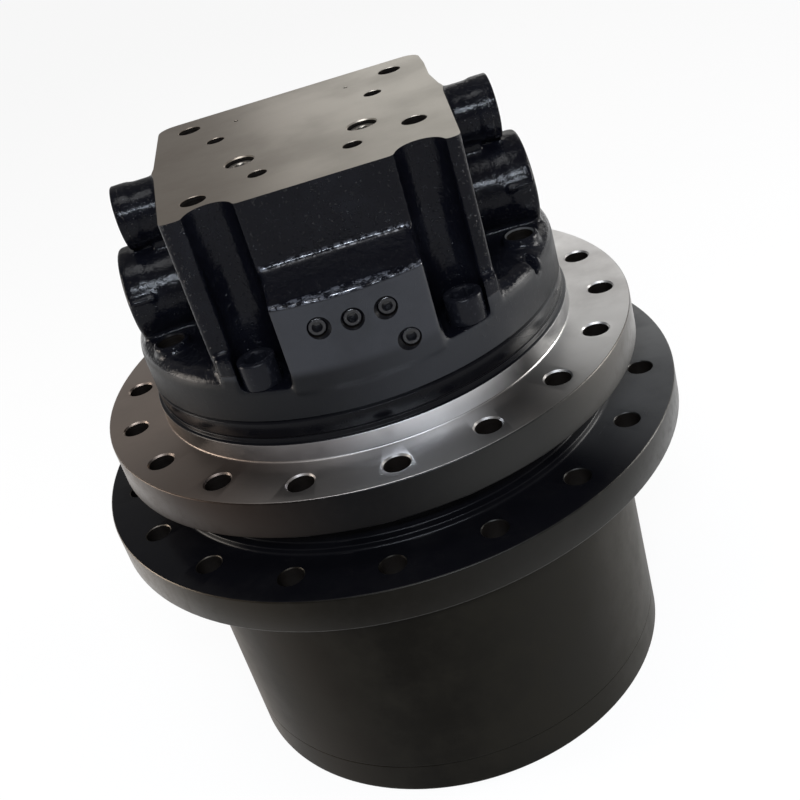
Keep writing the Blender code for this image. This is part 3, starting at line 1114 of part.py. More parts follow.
def build_cover_fittings(finishes):
    for number, angle in enumerate(COVER_BOLT_ANGLES):
        seat = POCKET_FLOOR + SEAT_GAP
        head = socket_plug(COVER_BOLT_HEAD_RADIUS, COVER_BOLT_HEAD_HEIGHT, COVER_BOLT_SOCKET_RADIUS,
                           COVER_BOLT_SOCKET_DEPTH)
        place_shape(head, on_circle(COVER_BOLT_CIRCLE_RADIUS, angle, seat))
        bolt = make_object("cover_bolt_" + str(number + 1), head, finishes["bolt_steel"])
        shank = rod(COVER_BOLT_RADIUS, CASING_TOP - COVER_BOLT_GRIP, seat + COVER_BOLT_ROOT, SMALL_ROUND)
        unite(bolt, place_shape(shank, on_circle(COVER_BOLT_CIRCLE_RADIUS, angle)))
    for number, (x, drop) in enumerate(GAUGE_PLUG_PLACES):
        plug = socket_plug(GAUGE_PLUG_RADIUS, GAUGE_PLUG_LENGTH, GAUGE_PLUG_SOCKET_RADIUS, GAUGE_PLUG_SOCKET_DEPTH)
        place_shape(plug, facing_front(x, COVER_TOP + drop, GAUGE_PLUG_LENGTH + GAUGE_PLUG_SETBACK))
        make_object("gauge_plug_" + str(number + 1), plug, finishes["bolt_steel"])
    for number, angle in enumerate(DRAIN_PORT_ANGLES):
        plug = socket_plug(DRAIN_PORT_RADIUS - SEAT_GAP, DRAIN_PLUG_HEIGHT, DRAIN_PLUG_SOCKET_RADIUS,
                           DRAIN_PLUG_SOCKET_DEPTH)
        seat = COVER_SHOULDER - DRAIN_PORT_DEPTH + SEAT_GAP
        place_shape(plug, on_circle(DRAIN_PORT_CIRCLE_RADIUS, angle, seat))
        make_object("drain_port_plug_" + str(number + 1), plug, finishes["bolt_steel"])
    for number, (x, y) in enumerate(PORT_PLUG_PLACES):
        plug = socket_plug(PORT_PLUG_RADIUS - SEAT_GAP, PORT_PLUG_HEIGHT, PORT_PLUG_SOCKET_RADIUS,
                           PORT_PLUG_SOCKET_DEPTH)
        seat = COVER_TOP - PORT_PLUG_RECESS - PORT_PLUG_HEIGHT
        place_shape(plug, Matrix.Translation((x, y, seat)))
        make_object("port_plug_" + str(number + 1), plug, finishes["plug_steel"])


def build_valves(spool_axis, finishes):
    """The counterbalance spool with its two caps, and the two relief valves above it."""
    lands = [share * 2 * SPOOL_HALF_LENGTH - SPOOL_HALF_LENGTH for share in SPOOL_LAND_SHARES]
    outline = [(0, lands[0])]
    for start, end in zip(lands[0::2], lands[1::2]):
        outline += [(SPOOL_RADIUS, start), (SPOOL_RADIUS, end)]
        if end < lands[-1]:
            following = lands[lands.index(end) + 1]
            outline += [(SPOOL_WAIST_RADIUS, end), (SPOOL_WAIST_RADIUS, following)]
    outline.append((0, lands[-1]))
    spool = place_shape(turned(outline, BORE_ROUND), Matrix.Rotation(pi / 2, 4, "Y"))
    make_object("counterbalance_spool", spool, finishes["gear_steel"], spool_axis)
    for name, side in (("left", -1), ("right", 1)):
        cap = socket_plug(SPOOL_CAP_RADIUS, SPOOL_CAP_LENGTH, SPOOL_CAP_SOCKET_RADIUS, SPOOL_CAP_SOCKET_DEPTH,
                          BOSS_ROUND)
        foot = SPOOL_BOSS_REACH - SPOOL_CAP_RECESS - SPOOL_CAP_LENGTH
        place_shape(cap, along_x(side * foot, SPOOL_BOSS_Y, SPOOL_Z, side))
        make_object("spool_cap_" + name, cap, finishes["bolt_steel"])
        spot = along_x(side * RELIEF_BOSS_REACH, RELIEF_BOSS_Y, RELIEF_Z, side)
        head = socket_plug(RELIEF_CAP_RADIUS, RELIEF_CAP_HEIGHT, RELIEF_SOCKET_RADIUS,
                           RELIEF_SOCKET_DEPTH, BOSS_ROUND)
        place_shape(head, Matrix.Translation((0, 0, SEAT_GAP)))
        item = make_object("relief_valve_" + name, place_shape(head, spot), finishes["bolt_steel"])
        body = rod(RELIEF_BODY_RADIUS, -RELIEF_BODY_LENGTH, RELIEF_CAP_ROOT, HOLE_ROUND)
        unite(item, place_shape(body, spot))


def main():
    clear_start()
    finishes = make_materials()
    hub = make_axis("hub_axis")
    carrier_axis = make_axis("carrier_1_axis")
    input_axis = make_axis("input_axis")
    brake_axis = make_axis("brake_axis")
    spool_axis = make_axis("spool_axis", (0, SPOOL_BOSS_Y, SPOOL_Z))
    build_end_cover(hub, finishes)
    build_gear_housing(hub, finishes)
    build_motor_casing(finishes)
    build_bearing_nut(finishes)
    build_main_bearings(hub, finishes)
    build_floating_seal(hub, finishes)
    build_stage_1(carrier_axis, input_axis, finishes)
    build_stage_2(carrier_axis, finishes)
    build_motor_shaft(input_axis, finishes)
    build_rotating_group(input_axis, finishes)
    build_swash_and_valve_plates(finishes)
    build_brake(input_axis, brake_axis, finishes)
    build_rear_cover(finishes)
    build_cover_fittings(finishes)
    build_valves(spool_axis, finishes)


main()
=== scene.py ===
import bpy
import bmesh
import json
from math import acos, atan2, cos, pi, radians, sin, sqrt
from mathutils import Matrix, Vector

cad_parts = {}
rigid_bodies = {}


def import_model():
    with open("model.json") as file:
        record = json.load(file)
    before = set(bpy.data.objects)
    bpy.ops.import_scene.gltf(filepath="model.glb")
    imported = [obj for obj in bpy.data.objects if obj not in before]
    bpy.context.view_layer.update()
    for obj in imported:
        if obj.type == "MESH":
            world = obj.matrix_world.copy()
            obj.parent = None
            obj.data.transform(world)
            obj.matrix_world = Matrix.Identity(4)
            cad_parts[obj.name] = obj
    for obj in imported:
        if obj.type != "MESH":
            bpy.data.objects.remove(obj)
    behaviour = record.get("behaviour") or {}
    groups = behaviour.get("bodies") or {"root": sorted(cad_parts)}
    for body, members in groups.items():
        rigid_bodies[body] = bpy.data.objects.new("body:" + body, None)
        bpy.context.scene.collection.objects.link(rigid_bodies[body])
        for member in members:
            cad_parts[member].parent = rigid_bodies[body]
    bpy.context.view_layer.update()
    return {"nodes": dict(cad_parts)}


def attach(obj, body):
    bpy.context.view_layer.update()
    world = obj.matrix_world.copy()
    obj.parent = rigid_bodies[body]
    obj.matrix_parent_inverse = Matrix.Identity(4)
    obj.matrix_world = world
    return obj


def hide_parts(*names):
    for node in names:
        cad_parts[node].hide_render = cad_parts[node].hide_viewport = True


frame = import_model()
print("frame loaded:", len(frame["nodes"]), "nodes")

class Settings(dict):
    # a dictionary whose values are also read as settings.name
    __getattr__ = dict.__getitem__


overrun = 0.002  # how far a cutting tool reaches past a face
seatGap = 0.0003
seamEdge = 0.0003  # edge of the joint between drum and end cover
seamSupport = 0.001  # ring of points beside that edge, for even shading


# Camera and light: everything here follows the photograph's view

view = Settings(
    place=(0.0133, -0.780, 0.6745), elevation=radians(29.36), roll=radians(17.0), lens=51.59, sensor=36.0,
    nearest=0.05,
)


def makeCamera():
    camera = bpy.data.objects.new("camera", bpy.data.cameras.new("camera"))
    bpy.context.scene.collection.objects.link(camera)
    ahead = Vector((0, cos(view.elevation), -sin(view.elevation)))
    right = Vector((1, 0, 0))
    up = right.cross(ahead)
    c, s = cos(view.roll), sin(view.roll)
    axisX = c * right - s * up
    axisY = s * right + c * up
    turn = Matrix((axisX, axisY, -ahead)).transposed().to_4x4()
    camera.matrix_world = Matrix.Translation(view.place) @ turn
    camera.data.lens = view.lens
    camera.data.sensor_width = view.sensor
    camera.data.clip_start = view.nearest
    bpy.context.scene.camera = camera


light = Settings(
    world=0.30,
    worldColour=(1.0, 0.99, 0.98, 1),
    lamps=[
        # name, place, aim, width, height, power, colour
        ("backRight", (0.8, 2.3, 1.08), (0.1, 0.0, 0.42), 2.0, 0.75, 3.7, (1.0, 0.985, 0.96)),
        ("above", (-0.2, -0.45, 2.3), (0, 0, 0.3), 1.1, 0.7, 12, (0.97, 0.98, 1.0)),
        ("glint", (0.0, -1.80, 1.62), (0, 0, 0.40), 1.3, 0.055, 48, (0.80, 0.88, 1.0)),
        ("leftSide", (-1.7, 0.2, 0.55), (0, 0, 0.2), 0.7, 0.9, 17, (1.0, 0.91, 0.82)),
        ("rightSide", (1.7, 0.0, 0.5), (0, 0, 0.2), 0.6, 1.1, 24, (1.0, 0.98, 0.95)),
    ],
)


def makeLights():
    for name, place, aim, width, height, power, colour in light.lamps:
        data = bpy.data.lights.new(name, "AREA")
        data.shape = "RECTANGLE"
        data.size = width
        data.size_y = height
        data.energy = power
        data.color = colour
        lamp = bpy.data.objects.new(name, data)
        bpy.context.scene.collection.objects.link(lamp)
        lamp.location = place
        lamp.rotation_euler = (Vector(aim) - Vector(place)).to_track_quat("-Z", "Y").to_euler()
    world = bpy.data.worlds.new("studio")
    world.use_nodes = True
    tree = world.node_tree
    tree.nodes.clear()
    build = Shader(tree)
    plain = build.node("ShaderNodeBackground", Color=light.worldColour, Strength=light.world)
    output = build.node("ShaderNodeOutputWorld")
    build.join(plain.out("Background"), output.node.inputs["Surface"])
    bpy.context.scene.world = world
    bpy.context.scene.view_settings.view_transform = "Standard"


# Shader and geometry nodes as expressions

class Value:

    def __init__(self, build, socket):
        self.build = build
        self.socket = socket

    def maths(self, operation, *others):
        return self.build.node("ShaderNodeMath", {"operation": operation}, self, *others).out(0)

    def __add__(self, other):
        return self.maths("ADD", other)

    def __radd__(self, other):
        return self.maths("ADD", other)

    def __mul__(self, other):
        return self.maths("MULTIPLY", other)

    def __rmul__(self, other):
        return self.maths("MULTIPLY", other)

    def __sub__(self, other):
        return self.maths("SUBTRACT", other)

    def __rsub__(self, other):
        return self.build.node("ShaderNodeMath", {"operation": "SUBTRACT"}, other, self).out(0)

    def __pow__(self, other):
        return self.maths("POWER", other)

    def greater(self, other):
        return self.maths("MAXIMUM", other)

    def between(self, low, high):
        # 0 at low and 1 at high, softly; low may be the larger of the two
        made = self.build.node("ShaderNodeMapRange", {"interpolation_type": "SMOOTHSTEP"}, self)
        made.node.inputs["From Min"].default_value = low
        made.node.inputs["From Max"].default_value = high
        return made.out("Result")


class Made:

    def __init__(self, build, node):
        self.build = build
        self.node = node

    def out(self, name):
        return Value(self.build, self.node.outputs[name])


class Shader:

    def __init__(self, tree):
        self.tree = tree
        self.inputs = None  # of the surface, where there is one

    def join(self, value, socket):
        if isinstance(value, Value):
            self.tree.links.new(value.socket, socket)
        else:
            socket.default_value = value

    def node(self, kind, settings=None, *values, **named):
        node = self.tree.nodes.new(kind)
        for name, setting in (settings or {}).items():
            setattr(node, name, setting)
        for value, socket in zip(values, node.inputs):
            self.join(value, socket)
        for name, value in named.items():
            self.join(value, node.inputs[name.replace("_", " ")])
        return Made(self, node)

    def place(self):
        return self.node("ShaderNodeTexCoord").out("Object")

    def axes(self):
        place = self.place()
        split = self.node("ShaderNodeSeparateXYZ", {}, place)
        return place, split.out("X"), split.out("Y"), split.out("Z")

    def noise(self, place, scale, detail=2.0, roughness=0.5):
        made = self.node("ShaderNodeTexNoise", {}, Vector=place, Scale=scale, Detail=detail,
                         Roughness=roughness)
        return made.out("Fac")

    def point(self, x, y, z):
        return self.node("ShaderNodeCombineXYZ", {}, x, y, z).out("Vector")

    def lathe(self, x, y, z, scale, roughness=0.6):
        # fine rings round the upright axis, as a lathe leaves them
        return self.noise(self.point((x * x + y * y) ** 0.5, 0.0, z), scale, 2, roughness)

    def blend(self, share, first, second):
        mix = self.node("ShaderNodeMix", {"data_type": "RGBA"})
        self.join(share, mix.node.inputs[0])
        for value, index in ((first, 6), (second, 7)):
            self.join(value if isinstance(value, Value) else (*value, 1), mix.node.inputs[index])
        return Value(self, mix.node.outputs[2])

    def bump(self, height, strength, distance):
        made = self.node("ShaderNodeBump", {}, Height=height, Strength=strength, Distance=distance)
        return made.out("Normal")

    def look(self, colour, roughness, bump=None, **plain):
        # bump holds height, strength and distance; what is plain stays a constant on its socket
        self.join(colour, self.inputs["Base Color"])
        self.join(roughness, self.inputs["Roughness"])
        if bump:
            self.join(self.bump(*bump), self.inputs["Normal"])
        for name, value in plain.items():
            self.inputs[socketNames[name]].default_value = value


def roundTheAxis(build, x, y, lightStops):
    # paints light, shade and reflections as colour by the angle round the upright axis, in degrees from the
    # +X axis;
    # the last colour runs back into the first
    angle = build.node("ShaderNodeMath", {"operation": "ARCTAN2"}, y, x).out(0) * (180 / pi)
    before, colour = lightStops[0]
    for degrees, following in lightStops[1:] + [(180, colour)]:
        colour = build.blend(angle.between(before, degrees), colour, following)
        before = degrees
    return colour


socketNames = {"metallic": "Metallic", "specular": "Specular IOR Level", "tint": "Specular Tint",
               "coat": "Coat Weight", "coatRoughness": "Coat Roughness"}


def makeMaterial(name, recipe):
    material = bpy.data.materials.new(name)
    material.use_nodes = True
    material.node_tree.nodes.clear()
    build = Shader(material.node_tree)
    output = build.node("ShaderNodeOutputMaterial")
    surface = build.node("ShaderNodeBsdfPrincipled")
    build.inputs = surface.node.inputs
    recipe(build)
    build.join(surface.out("BSDF"), output.node.inputs["Surface"])
    return material


def seenRays(build):
    path = build.node("ShaderNodeLightPath")
    mirrored = path.out("Is Camera Ray").greater(path.out("Is Glossy Ray"))
    return mirrored.greater(path.out("Is Transmission Ray"))


def whiten(material, share):
    # whitens the floor where it is seen or mirrored, not the light that it throws on the part
    build = Shader(material.node_tree)
    output = next(node for node in material.node_tree.nodes if node.type == "OUTPUT_MATERIAL")
    surface = Value(build, output.inputs["Surface"].links[0].from_socket)
    white = build.node("ShaderNodeEmission", Color=(1, 1, 1, 1), Strength=1.0)
    both = build.node("ShaderNodeMixShader", {}, seenRays(build) * share, surface, white.out("Emission"))
    build.join(both.out("Shader"), output.inputs["Surface"])


# where the masks of the cast paint begin and end, in metres
castMasks = Settings(
    middle=0.002, rim=(0.1525, 0.1540), footTop=(0.3608, 0.3590), footFade=(0.354, 0.362),
    panelHalf=(0.0495, 0.0480), panelTop=(0.4035, 0.4020),
    hollow=((0.4168, 0.4178), (0.4212, 0.4190), (-0.095, -0.100)), hollowHalf=(0.0490, 0.0470),
    brow=((0.4026, 0.4034), (0.4057, 0.4051), (-0.1440, -0.1450)),
    joint=((0.4172, 0.4184), (0.4222, 0.4208), (-0.020, -0.025)), jointFrom=(0.1040, 0.1060),
)


def paintCast(build):
    # glossy blue-black paint over a sand-cast skin; the rim and the front panel are smoother and more matt
    m = castMasks
    place, x, y, z = build.axes()
    radius = (x * x + y * y) ** 0.5
    away = x - m.middle
    panel = (away * away) ** 0.5
    wall = z.between(*m.footTop).greater(panel.between(*m.panelHalf) * z.between(*m.panelTop))
    smooth = radius.between(*m.rim) * wall
    skin = build.noise(place, 190, 4, 0.62)
    lumps = build.noise(place, 60)
    grains = build.noise(place, 430, 2, 0.7).between(0.58, 0.72)
    dust = build.noise(place, 22, 5, 0.65).between(0.45, 0.75)
    gloss = build.blend(dust, (0.0019, 0.0020, 0.0034), (0.0042, 0.0045, 0.0067))
    # painted light and shade: the matt paint is darker on the left and lighter towards the right front, as
    # light falls
    mattPaintAndLight = roundTheAxis(build, x, y, [
        (-170, (0.0022, 0.0022, 0.0023)), (-105, (0.0055, 0.0057, 0.0065)),
        (-72, (0.019, 0.0195, 0.0215)), (-30, (0.014, 0.0144, 0.0156))])
    # painted light: the front panel above the foot is painted lighter, as it is lit more
    mattPaintAndLight = build.blend(z.between(*m.footFade), mattPaintAndLight, (0.027, 0.0275, 0.0305))
    mattPaintAndLight = build.blend(dust * 0.4, mattPaintAndLight, (0.014, 0.0142, 0.0150))
    # painted highlight: broken spots in the hollow corners, on the brow of the panel and at the joint of the
    # bosses are painted lighter as glints, and get a glossy coat
    hollow, brow, joint = [z.between(*m[name][0]) * z.between(*m[name][1]) * y.between(*m[name][2])
                           for name in ("hollow", "brow", "joint")]
    hollow = hollow * panel.between(*m.hollowHalf)
    brow = brow * panel.between(*m.panelHalf)
    joint = joint * panel.between(*m.jointFrom)
    coatAndPaintedGlints = hollow.greater(brow).greater(joint) * build.noise(place, 300, 3, 0.7).between(0.46, 0.60)
    paint = build.blend(smooth, gloss, mattPaintAndLight)
    height = (skin * 0.70 + lumps * 0.8 + grains * 0.9) * (1.0 - smooth * 0.85)
    # painted highlight: the glint spots are painted a pale blue-grey
    build.look(build.blend(coatAndPaintedGlints * 0.6, paint, (0.085, 0.089, 0.105)),
               0.05 + 0.10 * skin + 0.07 * dust + smooth * 0.30, (height, 0.60, 0.0010),
               coatRoughness=0.10, specular=0.11)
    build.join((coatAndPaintedGlints.greater(0.35 * grains)) * (1.0 - smooth), build.inputs["Coat Weight"])


def paintSmooth(build):
    place, x, y, z = build.axes()
    rings = build.lathe(x, y, z, 900)
    dust = build.noise(place, 30, 5, 0.65).between(0.4, 0.8)
    # painted light: the smooth paint is painted lighter on the right side and darker elsewhere, as light
    # falls
    tone = roundTheAxis(build, x, y, [
        (-55, (0.0022, 0.0022, 0.0030)), (-25, (0.046, 0.046, 0.046)), (5, (0.078, 0.078, 0.077)),
        (60, (0.008, 0.008, 0.008))])
    build.look(build.blend(dust * 0.3, tone, (0.0070, 0.0067, 0.0070)),
               0.17 + 0.10 * rings + 0.06 * dust,
               (rings * 0.4 + build.noise(place, 240, 3), 0.06, 0.0006), specular=0.09)


def paintSatin(build):
    place, x, y, z = build.axes()
    rings = build.lathe(x, y, z, 1500)
    mottle = build.noise(place, 17, 5, 0.68)
    # painted light and reflection: the drum is painted brownish and lighter at the left edge, lighter at the
    # right, and darkest in front
    base = roundTheAxis(build, x, y, [
        (-168, (0.055, 0.041, 0.026)), (-142, (0.0085, 0.0055, 0.0025)), (-105, (0.0016, 0.0012, 0.0006)),
        (-60, (0.0085, 0.0078, 0.0062)), (-22, (0.034, 0.031, 0.026))])
    build.look(build.blend(mottle.between(0.35, 0.7) * 0.6, base, (0.0098, 0.0086, 0.0060)),
               0.28 + 0.22 * mottle + 0.06 * rings,
               (rings * 0.35 + build.noise(place, 420) * 0.5, 0.10, 0.0005),
               tint=(1.0, 0.96, 0.88, 1), specular=0.06)


def rimOxide(build, lightStops):
    # the blackish skin of a turned rim, worn lighter where it was gripped and cleaned, under painted light
    # and reflection round the axis
    place, x, y, z = build.axes()
    wear = build.noise(place, 130, 5, 0.65).between(0.40, 0.80)
    marks = build.noise(build.point(0.0, 0.0, z), 1700, 2, 0.6)
    base = roundTheAxis(build, x, y, lightStops)
    worn = build.blend(0.25, base, (0.10, 0.09, 0.08))
    build.look(build.blend(wear * 0.10, base, worn), 0.30 + 0.14 * wear + 0.08 * marks,
               (marks, 0.08, 0.0003), metallic=0.9, specular=0.2)


# painted reflection: the stops make each rim lighter where it reflects the lamps, and the pilot collar
# carries a painted highlight streak
def rimUpper(build):
    rimOxide(build, [
        (-165, (0.125, 0.105, 0.088)), (-135, (0.027, 0.0185, 0.0140)), (-98, (0.0068, 0.0066, 0.0070)),
        (-65, (0.030, 0.030, 0.029)), (-35, (0.074, 0.070, 0.064)), (0, (0.34, 0.335, 0.33))])


def rimLower(build):
    rimOxide(build, [
        (-158, (0.135, 0.116, 0.096)), (-128, (0.022, 0.0185, 0.0140)), (-102, (0.0085, 0.0077, 0.0063)),
        (-62, (0.021, 0.0205, 0.019)), (-15, (0.058, 0.057, 0.055))])


def rimPilot(build):
    rimOxide(build, [
        (-172, (0.26, 0.21, 0.17)), (-146, (0.0080, 0.0065, 0.0055)), (-110, (0.19, 0.178, 0.175)),
        (-72, (0.66, 0.65, 0.65)), (-50, (0.018, 0.018, 0.0185)), (-10, (0.38, 0.38, 0.38)),
        (12, (0.06, 0.06, 0.062))])


def holeDark(build):
    place, *_, z = build.axes()
    shadeMottle = build.noise(place, 120, 3, 0.6)
    # painted shade: the walls of holes are painted nearly black, as shade falls inside them, with a mottle
    # of noise
    build.look(build.blend(shadeMottle, (0.0022, 0.0018, 0.0016), (0.0070, 0.0052, 0.0040)),
               0.50 + 0.2 * shadeMottle, (build.noise(build.point(0.0, 0.0, z), 700), 0.6, 0.0008), specular=0.07)


def steelTurned(build):
    place, x, y, z = build.axes()
    radius = (x * x + y * y) ** 0.5
    marks = build.lathe(x, y, z, 2300, 0.7)
    broad = build.lathe(x, y, z, 160, 0.5)
    tarnish = build.noise(place, 9, 5, 0.6).between(0.38, 0.72)
    # painted reflection: the turned flange is painted lighter and darker by angle, in a fan like the
    # reflections of its lathe rings
    paintedReflectionFan = roundTheAxis(build, x, y, [
        (-170, (0.345, 0.282, 0.242)), (-135, (0.158, 0.126, 0.108)), (-80, (0.62, 0.61, 0.60)),
        (-61, (0.16, 0.155, 0.15)), (-35, (0.78, 0.775, 0.765)), (10, (0.80, 0.795, 0.79))])
    tarnishAndReflection = build.blend(tarnish * 0.45, paintedReflectionFan, (0.20, 0.175, 0.155))
    # painted reflection: the inner half of the flange in front is painted darker, where it mirrors the
    # cover's black foot
    paintedFootReflection = roundTheAxis(build, x, y, [(-112, (0, 0, 0)), (-92, (0.85, 0.85, 0.85)), (-66, (0, 0, 0))])
    tarnishAndReflection = build.blend(paintedFootReflection * radius.between(0.180, 0.166), tarnishAndReflection, (0.075, 0.073, 0.071))
    build.look(tarnishAndReflection, 0.27 + 0.09 * tarnish + 0.10 * marks,
               (marks * 0.7 + broad * 0.5, 0.12, 0.0004), metallic=1.0)


def steelMilled(build):
    place, x, y, z = build.axes()
    lanes = build.noise(build.point(y, 0.0, z), 1500, 2, 0.6)
    smear = build.noise(place, 11, 5, 0.6).between(0.35, 0.7)
    # painted reflection: the milled top is painted brownish to the left and paler grey to the right, as it
    # reflects its surroundings
    warmReflection = build.blend(smear, (0.295, 0.250, 0.205), (0.240, 0.202, 0.165))
    coolReflection = build.blend(smear, (0.505, 0.475, 0.418), (0.440, 0.413, 0.362))
    build.look(build.blend(x.between(-0.11, 0.11), warmReflection, coolReflection),
               0.30 + 0.08 * smear + 0.08 * lanes, (lanes, 0.05, 0.0003), metallic=1.0)


def blackOxide(build):
    place = build.place()
    wear = build.noise(place, 260, 3, 0.6).between(0.5, 0.8)
    build.look(build.blend(wear, (0.0045, 0.0047, 0.0065), (0.014, 0.014, 0.017)),
               0.22 + 0.18 * wear, (build.noise(place, 700), 0.12, 0.0004), specular=0.12)


def plugGloss(build):
    place = build.place()
    build.look((0.003, 0.003, 0.0045, 1), 0.10 + 0.10 * build.noise(place, 400),
               (build.noise(place, 420, 3, 0.6), 0.8, 0.0014), specular=0.20, coat=0.6, coatRoughness=0.08)


def steelPlug(build):
    wear = build.noise(build.place(), 300, 3, 0.6)
    build.look(build.blend(wear, (0.24, 0.22, 0.19), (0.42, 0.39, 0.35)), 0.25 + 0.2 * wear,
               (wear, 0.08, 0.0003), metallic=1.0)


def steelGround(build):
    place, x, y, z = build.axes()
    lines = build.noise(build.point(x * 0.2, y * 0.2, z), 1800, 2, 0.6)
    heat = build.noise(place, 18, 3).between(0.4, 0.7)
    build.look(build.blend(heat, (0.50, 0.50, 0.49), (0.40, 0.385, 0.36)),
               0.18 + 0.10 * lines + 0.08 * heat, (lines, 0.06, 0.0003), metallic=1.0)


def steelPolished(build):
    haze = build.noise(build.place(), 60, 3)
    build.look(build.blend(haze, (0.62, 0.62, 0.62), (0.54, 0.54, 0.53)), 0.08 + 0.10 * haze, metallic=1.0)


def bronzeBare(build):
    place = build.place()
    dull = build.noise(place, 35, 4, 0.6)
    build.look(build.blend(dull, (0.56, 0.36, 0.16), (0.40, 0.25, 0.12)),
               0.22 + 0.2 * dull, (build.noise(place, 500), 0.05, 0.0003), metallic=1.0)


def floorPale(build):
    tone = build.blend(build.noise(build.place(), 6), (0.86, 0.86, 0.86), (0.90, 0.90, 0.90))
    build.look(tone, 0.8, specular=0.1)


finishes = {recipe.__name__: makeMaterial(recipe.__name__, recipe) for recipe in (
    paintCast, paintSmooth, paintSatin, rimUpper, rimLower, rimPilot, holeDark, steelTurned, steelMilled,
    blackOxide, plugGloss, steelPlug, steelGround, steelPolished, bronzeBare, floorPale)}
whiten(finishes["floorPale"], 0.90)
makeLights()
makeCamera()
print("materials, lights and camera made:", len(finishes), "materials")


# Shapes

def polar(radius, angle):
    return radius * cos(angle), radius * sin(angle)


def rectangle(left, right, low, high):
    return [(left, low), (right, low), (right, high), (left, high)]


def arc(centre, radius, start, end, steps):
    return [(centre[0] + radius * cos(start + (end - start) * k / steps),
             centre[1] + radius * sin(start + (end - start) * k / steps)) for k in range(steps + 1)]


def roundOff(points, steps=3):
    # each point is a radius, a height and the size of its rounded corner
    outline = []
    count = len(points)
    for index, (r, z, size) in enumerate(points):
        corner = Vector((r, z))
        before = Vector(points[index - 1][:2]) - corner
        after = Vector(points[(index + 1) % count][:2]) - corner
        if size == 0 or before.length == 0 or after.length == 0:
            outline.append((r, z))
            continue
        before.normalize()
        after.normalize()
        half = before.angle(after) / 2
        reach = size / max(0.2, abs(sin(half) / cos(half)))
        centre = corner + (before + after).normalized() * (size / sin(half))
        start = corner + before * reach - centre
        end = corner + after * reach - centre
        first = atan2(start.y, start.x)
        sweep = (atan2(end.y, end.x) - first + pi) % (2 * pi) - pi
        for step in range(steps + 1):
            angle = first + sweep * step / steps
            outline.append((centre.x + size * cos(angle), centre.y + size * sin(angle)))
    return outline


def turnProfile(outline, segments):
    bm = bmesh.new()
    onAxis = 1e-7
    rings = []
    for r, z in outline:
        if r < onAxis:
            rings.append([bm.verts.new((0, 0, z))] * segments)
        else:
            rings.append([bm.verts.new((*polar(r, 2 * pi * k / segments), z)) for k in range(segments)])
    pairs = list(zip(rings, rings[1:]))
    if outline[0][0] > onAxis:
        pairs.append((rings[-1], rings[0]))
    for low, high in pairs:
        for k in range(segments):
            corners = []
            for vert in (low[k], low[(k + 1) % segments], high[(k + 1) % segments], high[k]):
                if vert not in corners:
                    corners.append(vert)
            if len(corners) > 2:
                bm.faces.new(corners)
    return bm


def cylinder(radius, low, high, facets):
    return turnProfile([(0, low), (radius, low), (radius, high), (0, high)], facets)


def extrude(outline, bottom, top):
    bm = bmesh.new()
    base = bm.faces.new([bm.verts.new((x, y, bottom)) for x, y in outline])
    raised = bmesh.ops.extrude_face_region(bm, geom=[base])["geom"]
    verts = [item for item in raised if isinstance(item, bmesh.types.BMVert)]
    bmesh.ops.translate(bm, verts=verts, vec=(0, 0, top - bottom))
    return bm


def moved(bm, matrix):
    bmesh.ops.transform(bm, matrix=matrix, verts=bm.verts)
    return bm


def movedTo(bm, x, y):
    return moved(bm, Matrix.Translation((x, y, 0)))


def pointAlongX(x, y, z, side):
    return Matrix.Translation((x, y, z)) @ Matrix.Rotation(side * pi / 2, 4, "Y")


def shade(mesh, smooth):
    mesh.shade_smooth()
    if smooth:
        mesh.set_sharp_from_angle(angle=radians(smooth))


def addObject(name, mesh):
    item = bpy.data.objects.new(name, mesh)
    bpy.context.scene.collection.objects.link(item)
    return item


def makePiece(name, bm, *materials, smooth=32):
    bmesh.ops.recalc_face_normals(bm, faces=bm.faces)
    mesh = bpy.data.meshes.new(name)
    bm.to_mesh(mesh)
    bm.free()
    for material in materials:
        mesh.materials.append(finishes[material])
    shade(mesh, smooth)
    return addObject(name, mesh)


def boolean(piece, tools, operation="DIFFERENCE", looks=None):
    # looks are each tool's outer and inner finish, which stay on the faces that the tool leaves
    group = bpy.data.collections.new(piece.name + operation)
    bpy.context.scene.collection.children.link(group)
    for index, bm in enumerate(tools):
        own = looks[index] if looks else ()
        group.objects.link(makePiece(piece.name + "Tool" + str(index), bm, *own, smooth=0))
    step = piece.modifiers.new(operation, "BOOLEAN")
    step.operation = operation
    step.solver = "EXACT"
    step.operand_type = "COLLECTION"
    step.collection = group
    if looks:
        step.material_mode = "TRANSFER"


def settle(piece, smooth=32):
    graph = bpy.context.evaluated_depsgraph_get()
    mesh = bpy.data.meshes.new_from_object(piece.evaluated_get(graph), depsgraph=graph)
    groups = [step.collection for step in piece.modifiers if step.type == "BOOLEAN"]
    piece.modifiers.clear()
    old = piece.data
    piece.data = mesh
    bpy.data.meshes.remove(old)
    mesh.name = piece.name
    for group in groups:
        for tool in list(group.objects):
            bpy.data.objects.remove(tool)
        bpy.data.collections.remove(group)
    shade(mesh, smooth)


def stand(piece, body, slot, *nodes):
    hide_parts(*nodes)
    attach(piece, body)


def paintFaces(piece, choose):
    # gives the faces that still have the piece's first finish the number that choose returns
    for face in piece.data.polygons:
        if face.material_index == 0:
            centre = face.center
            face.material_index = choose(sqrt(centre.x ** 2 + centre.y ** 2), centre.z)


# Geometry Nodes: what repeats

def newTree(name, sockets):
    tree = bpy.data.node_groups.new(name, "GeometryNodeTree")
    tree.interface.new_socket("Geometry", in_out="INPUT", socket_type="NodeSocketGeometry")
    for label, kind, value in sockets:
        socket = tree.interface.new_socket(label, in_out="INPUT", socket_type=kind)
        if value is not None:
            socket.default_value = value
    tree.interface.new_socket("Geometry", in_out="OUTPUT", socket_type="NodeSocketGeometry")
    build = Shader(tree)
    return build, build.node("NodeGroupInput")


def setInputs(step, **values):
    for item in step.node_group.interface.items_tree:
        label = item.name.replace(" ", "")
        if item.item_type == "SOCKET" and item.in_out == "INPUT" and label in values:
            step[item.identifier] = values[label]


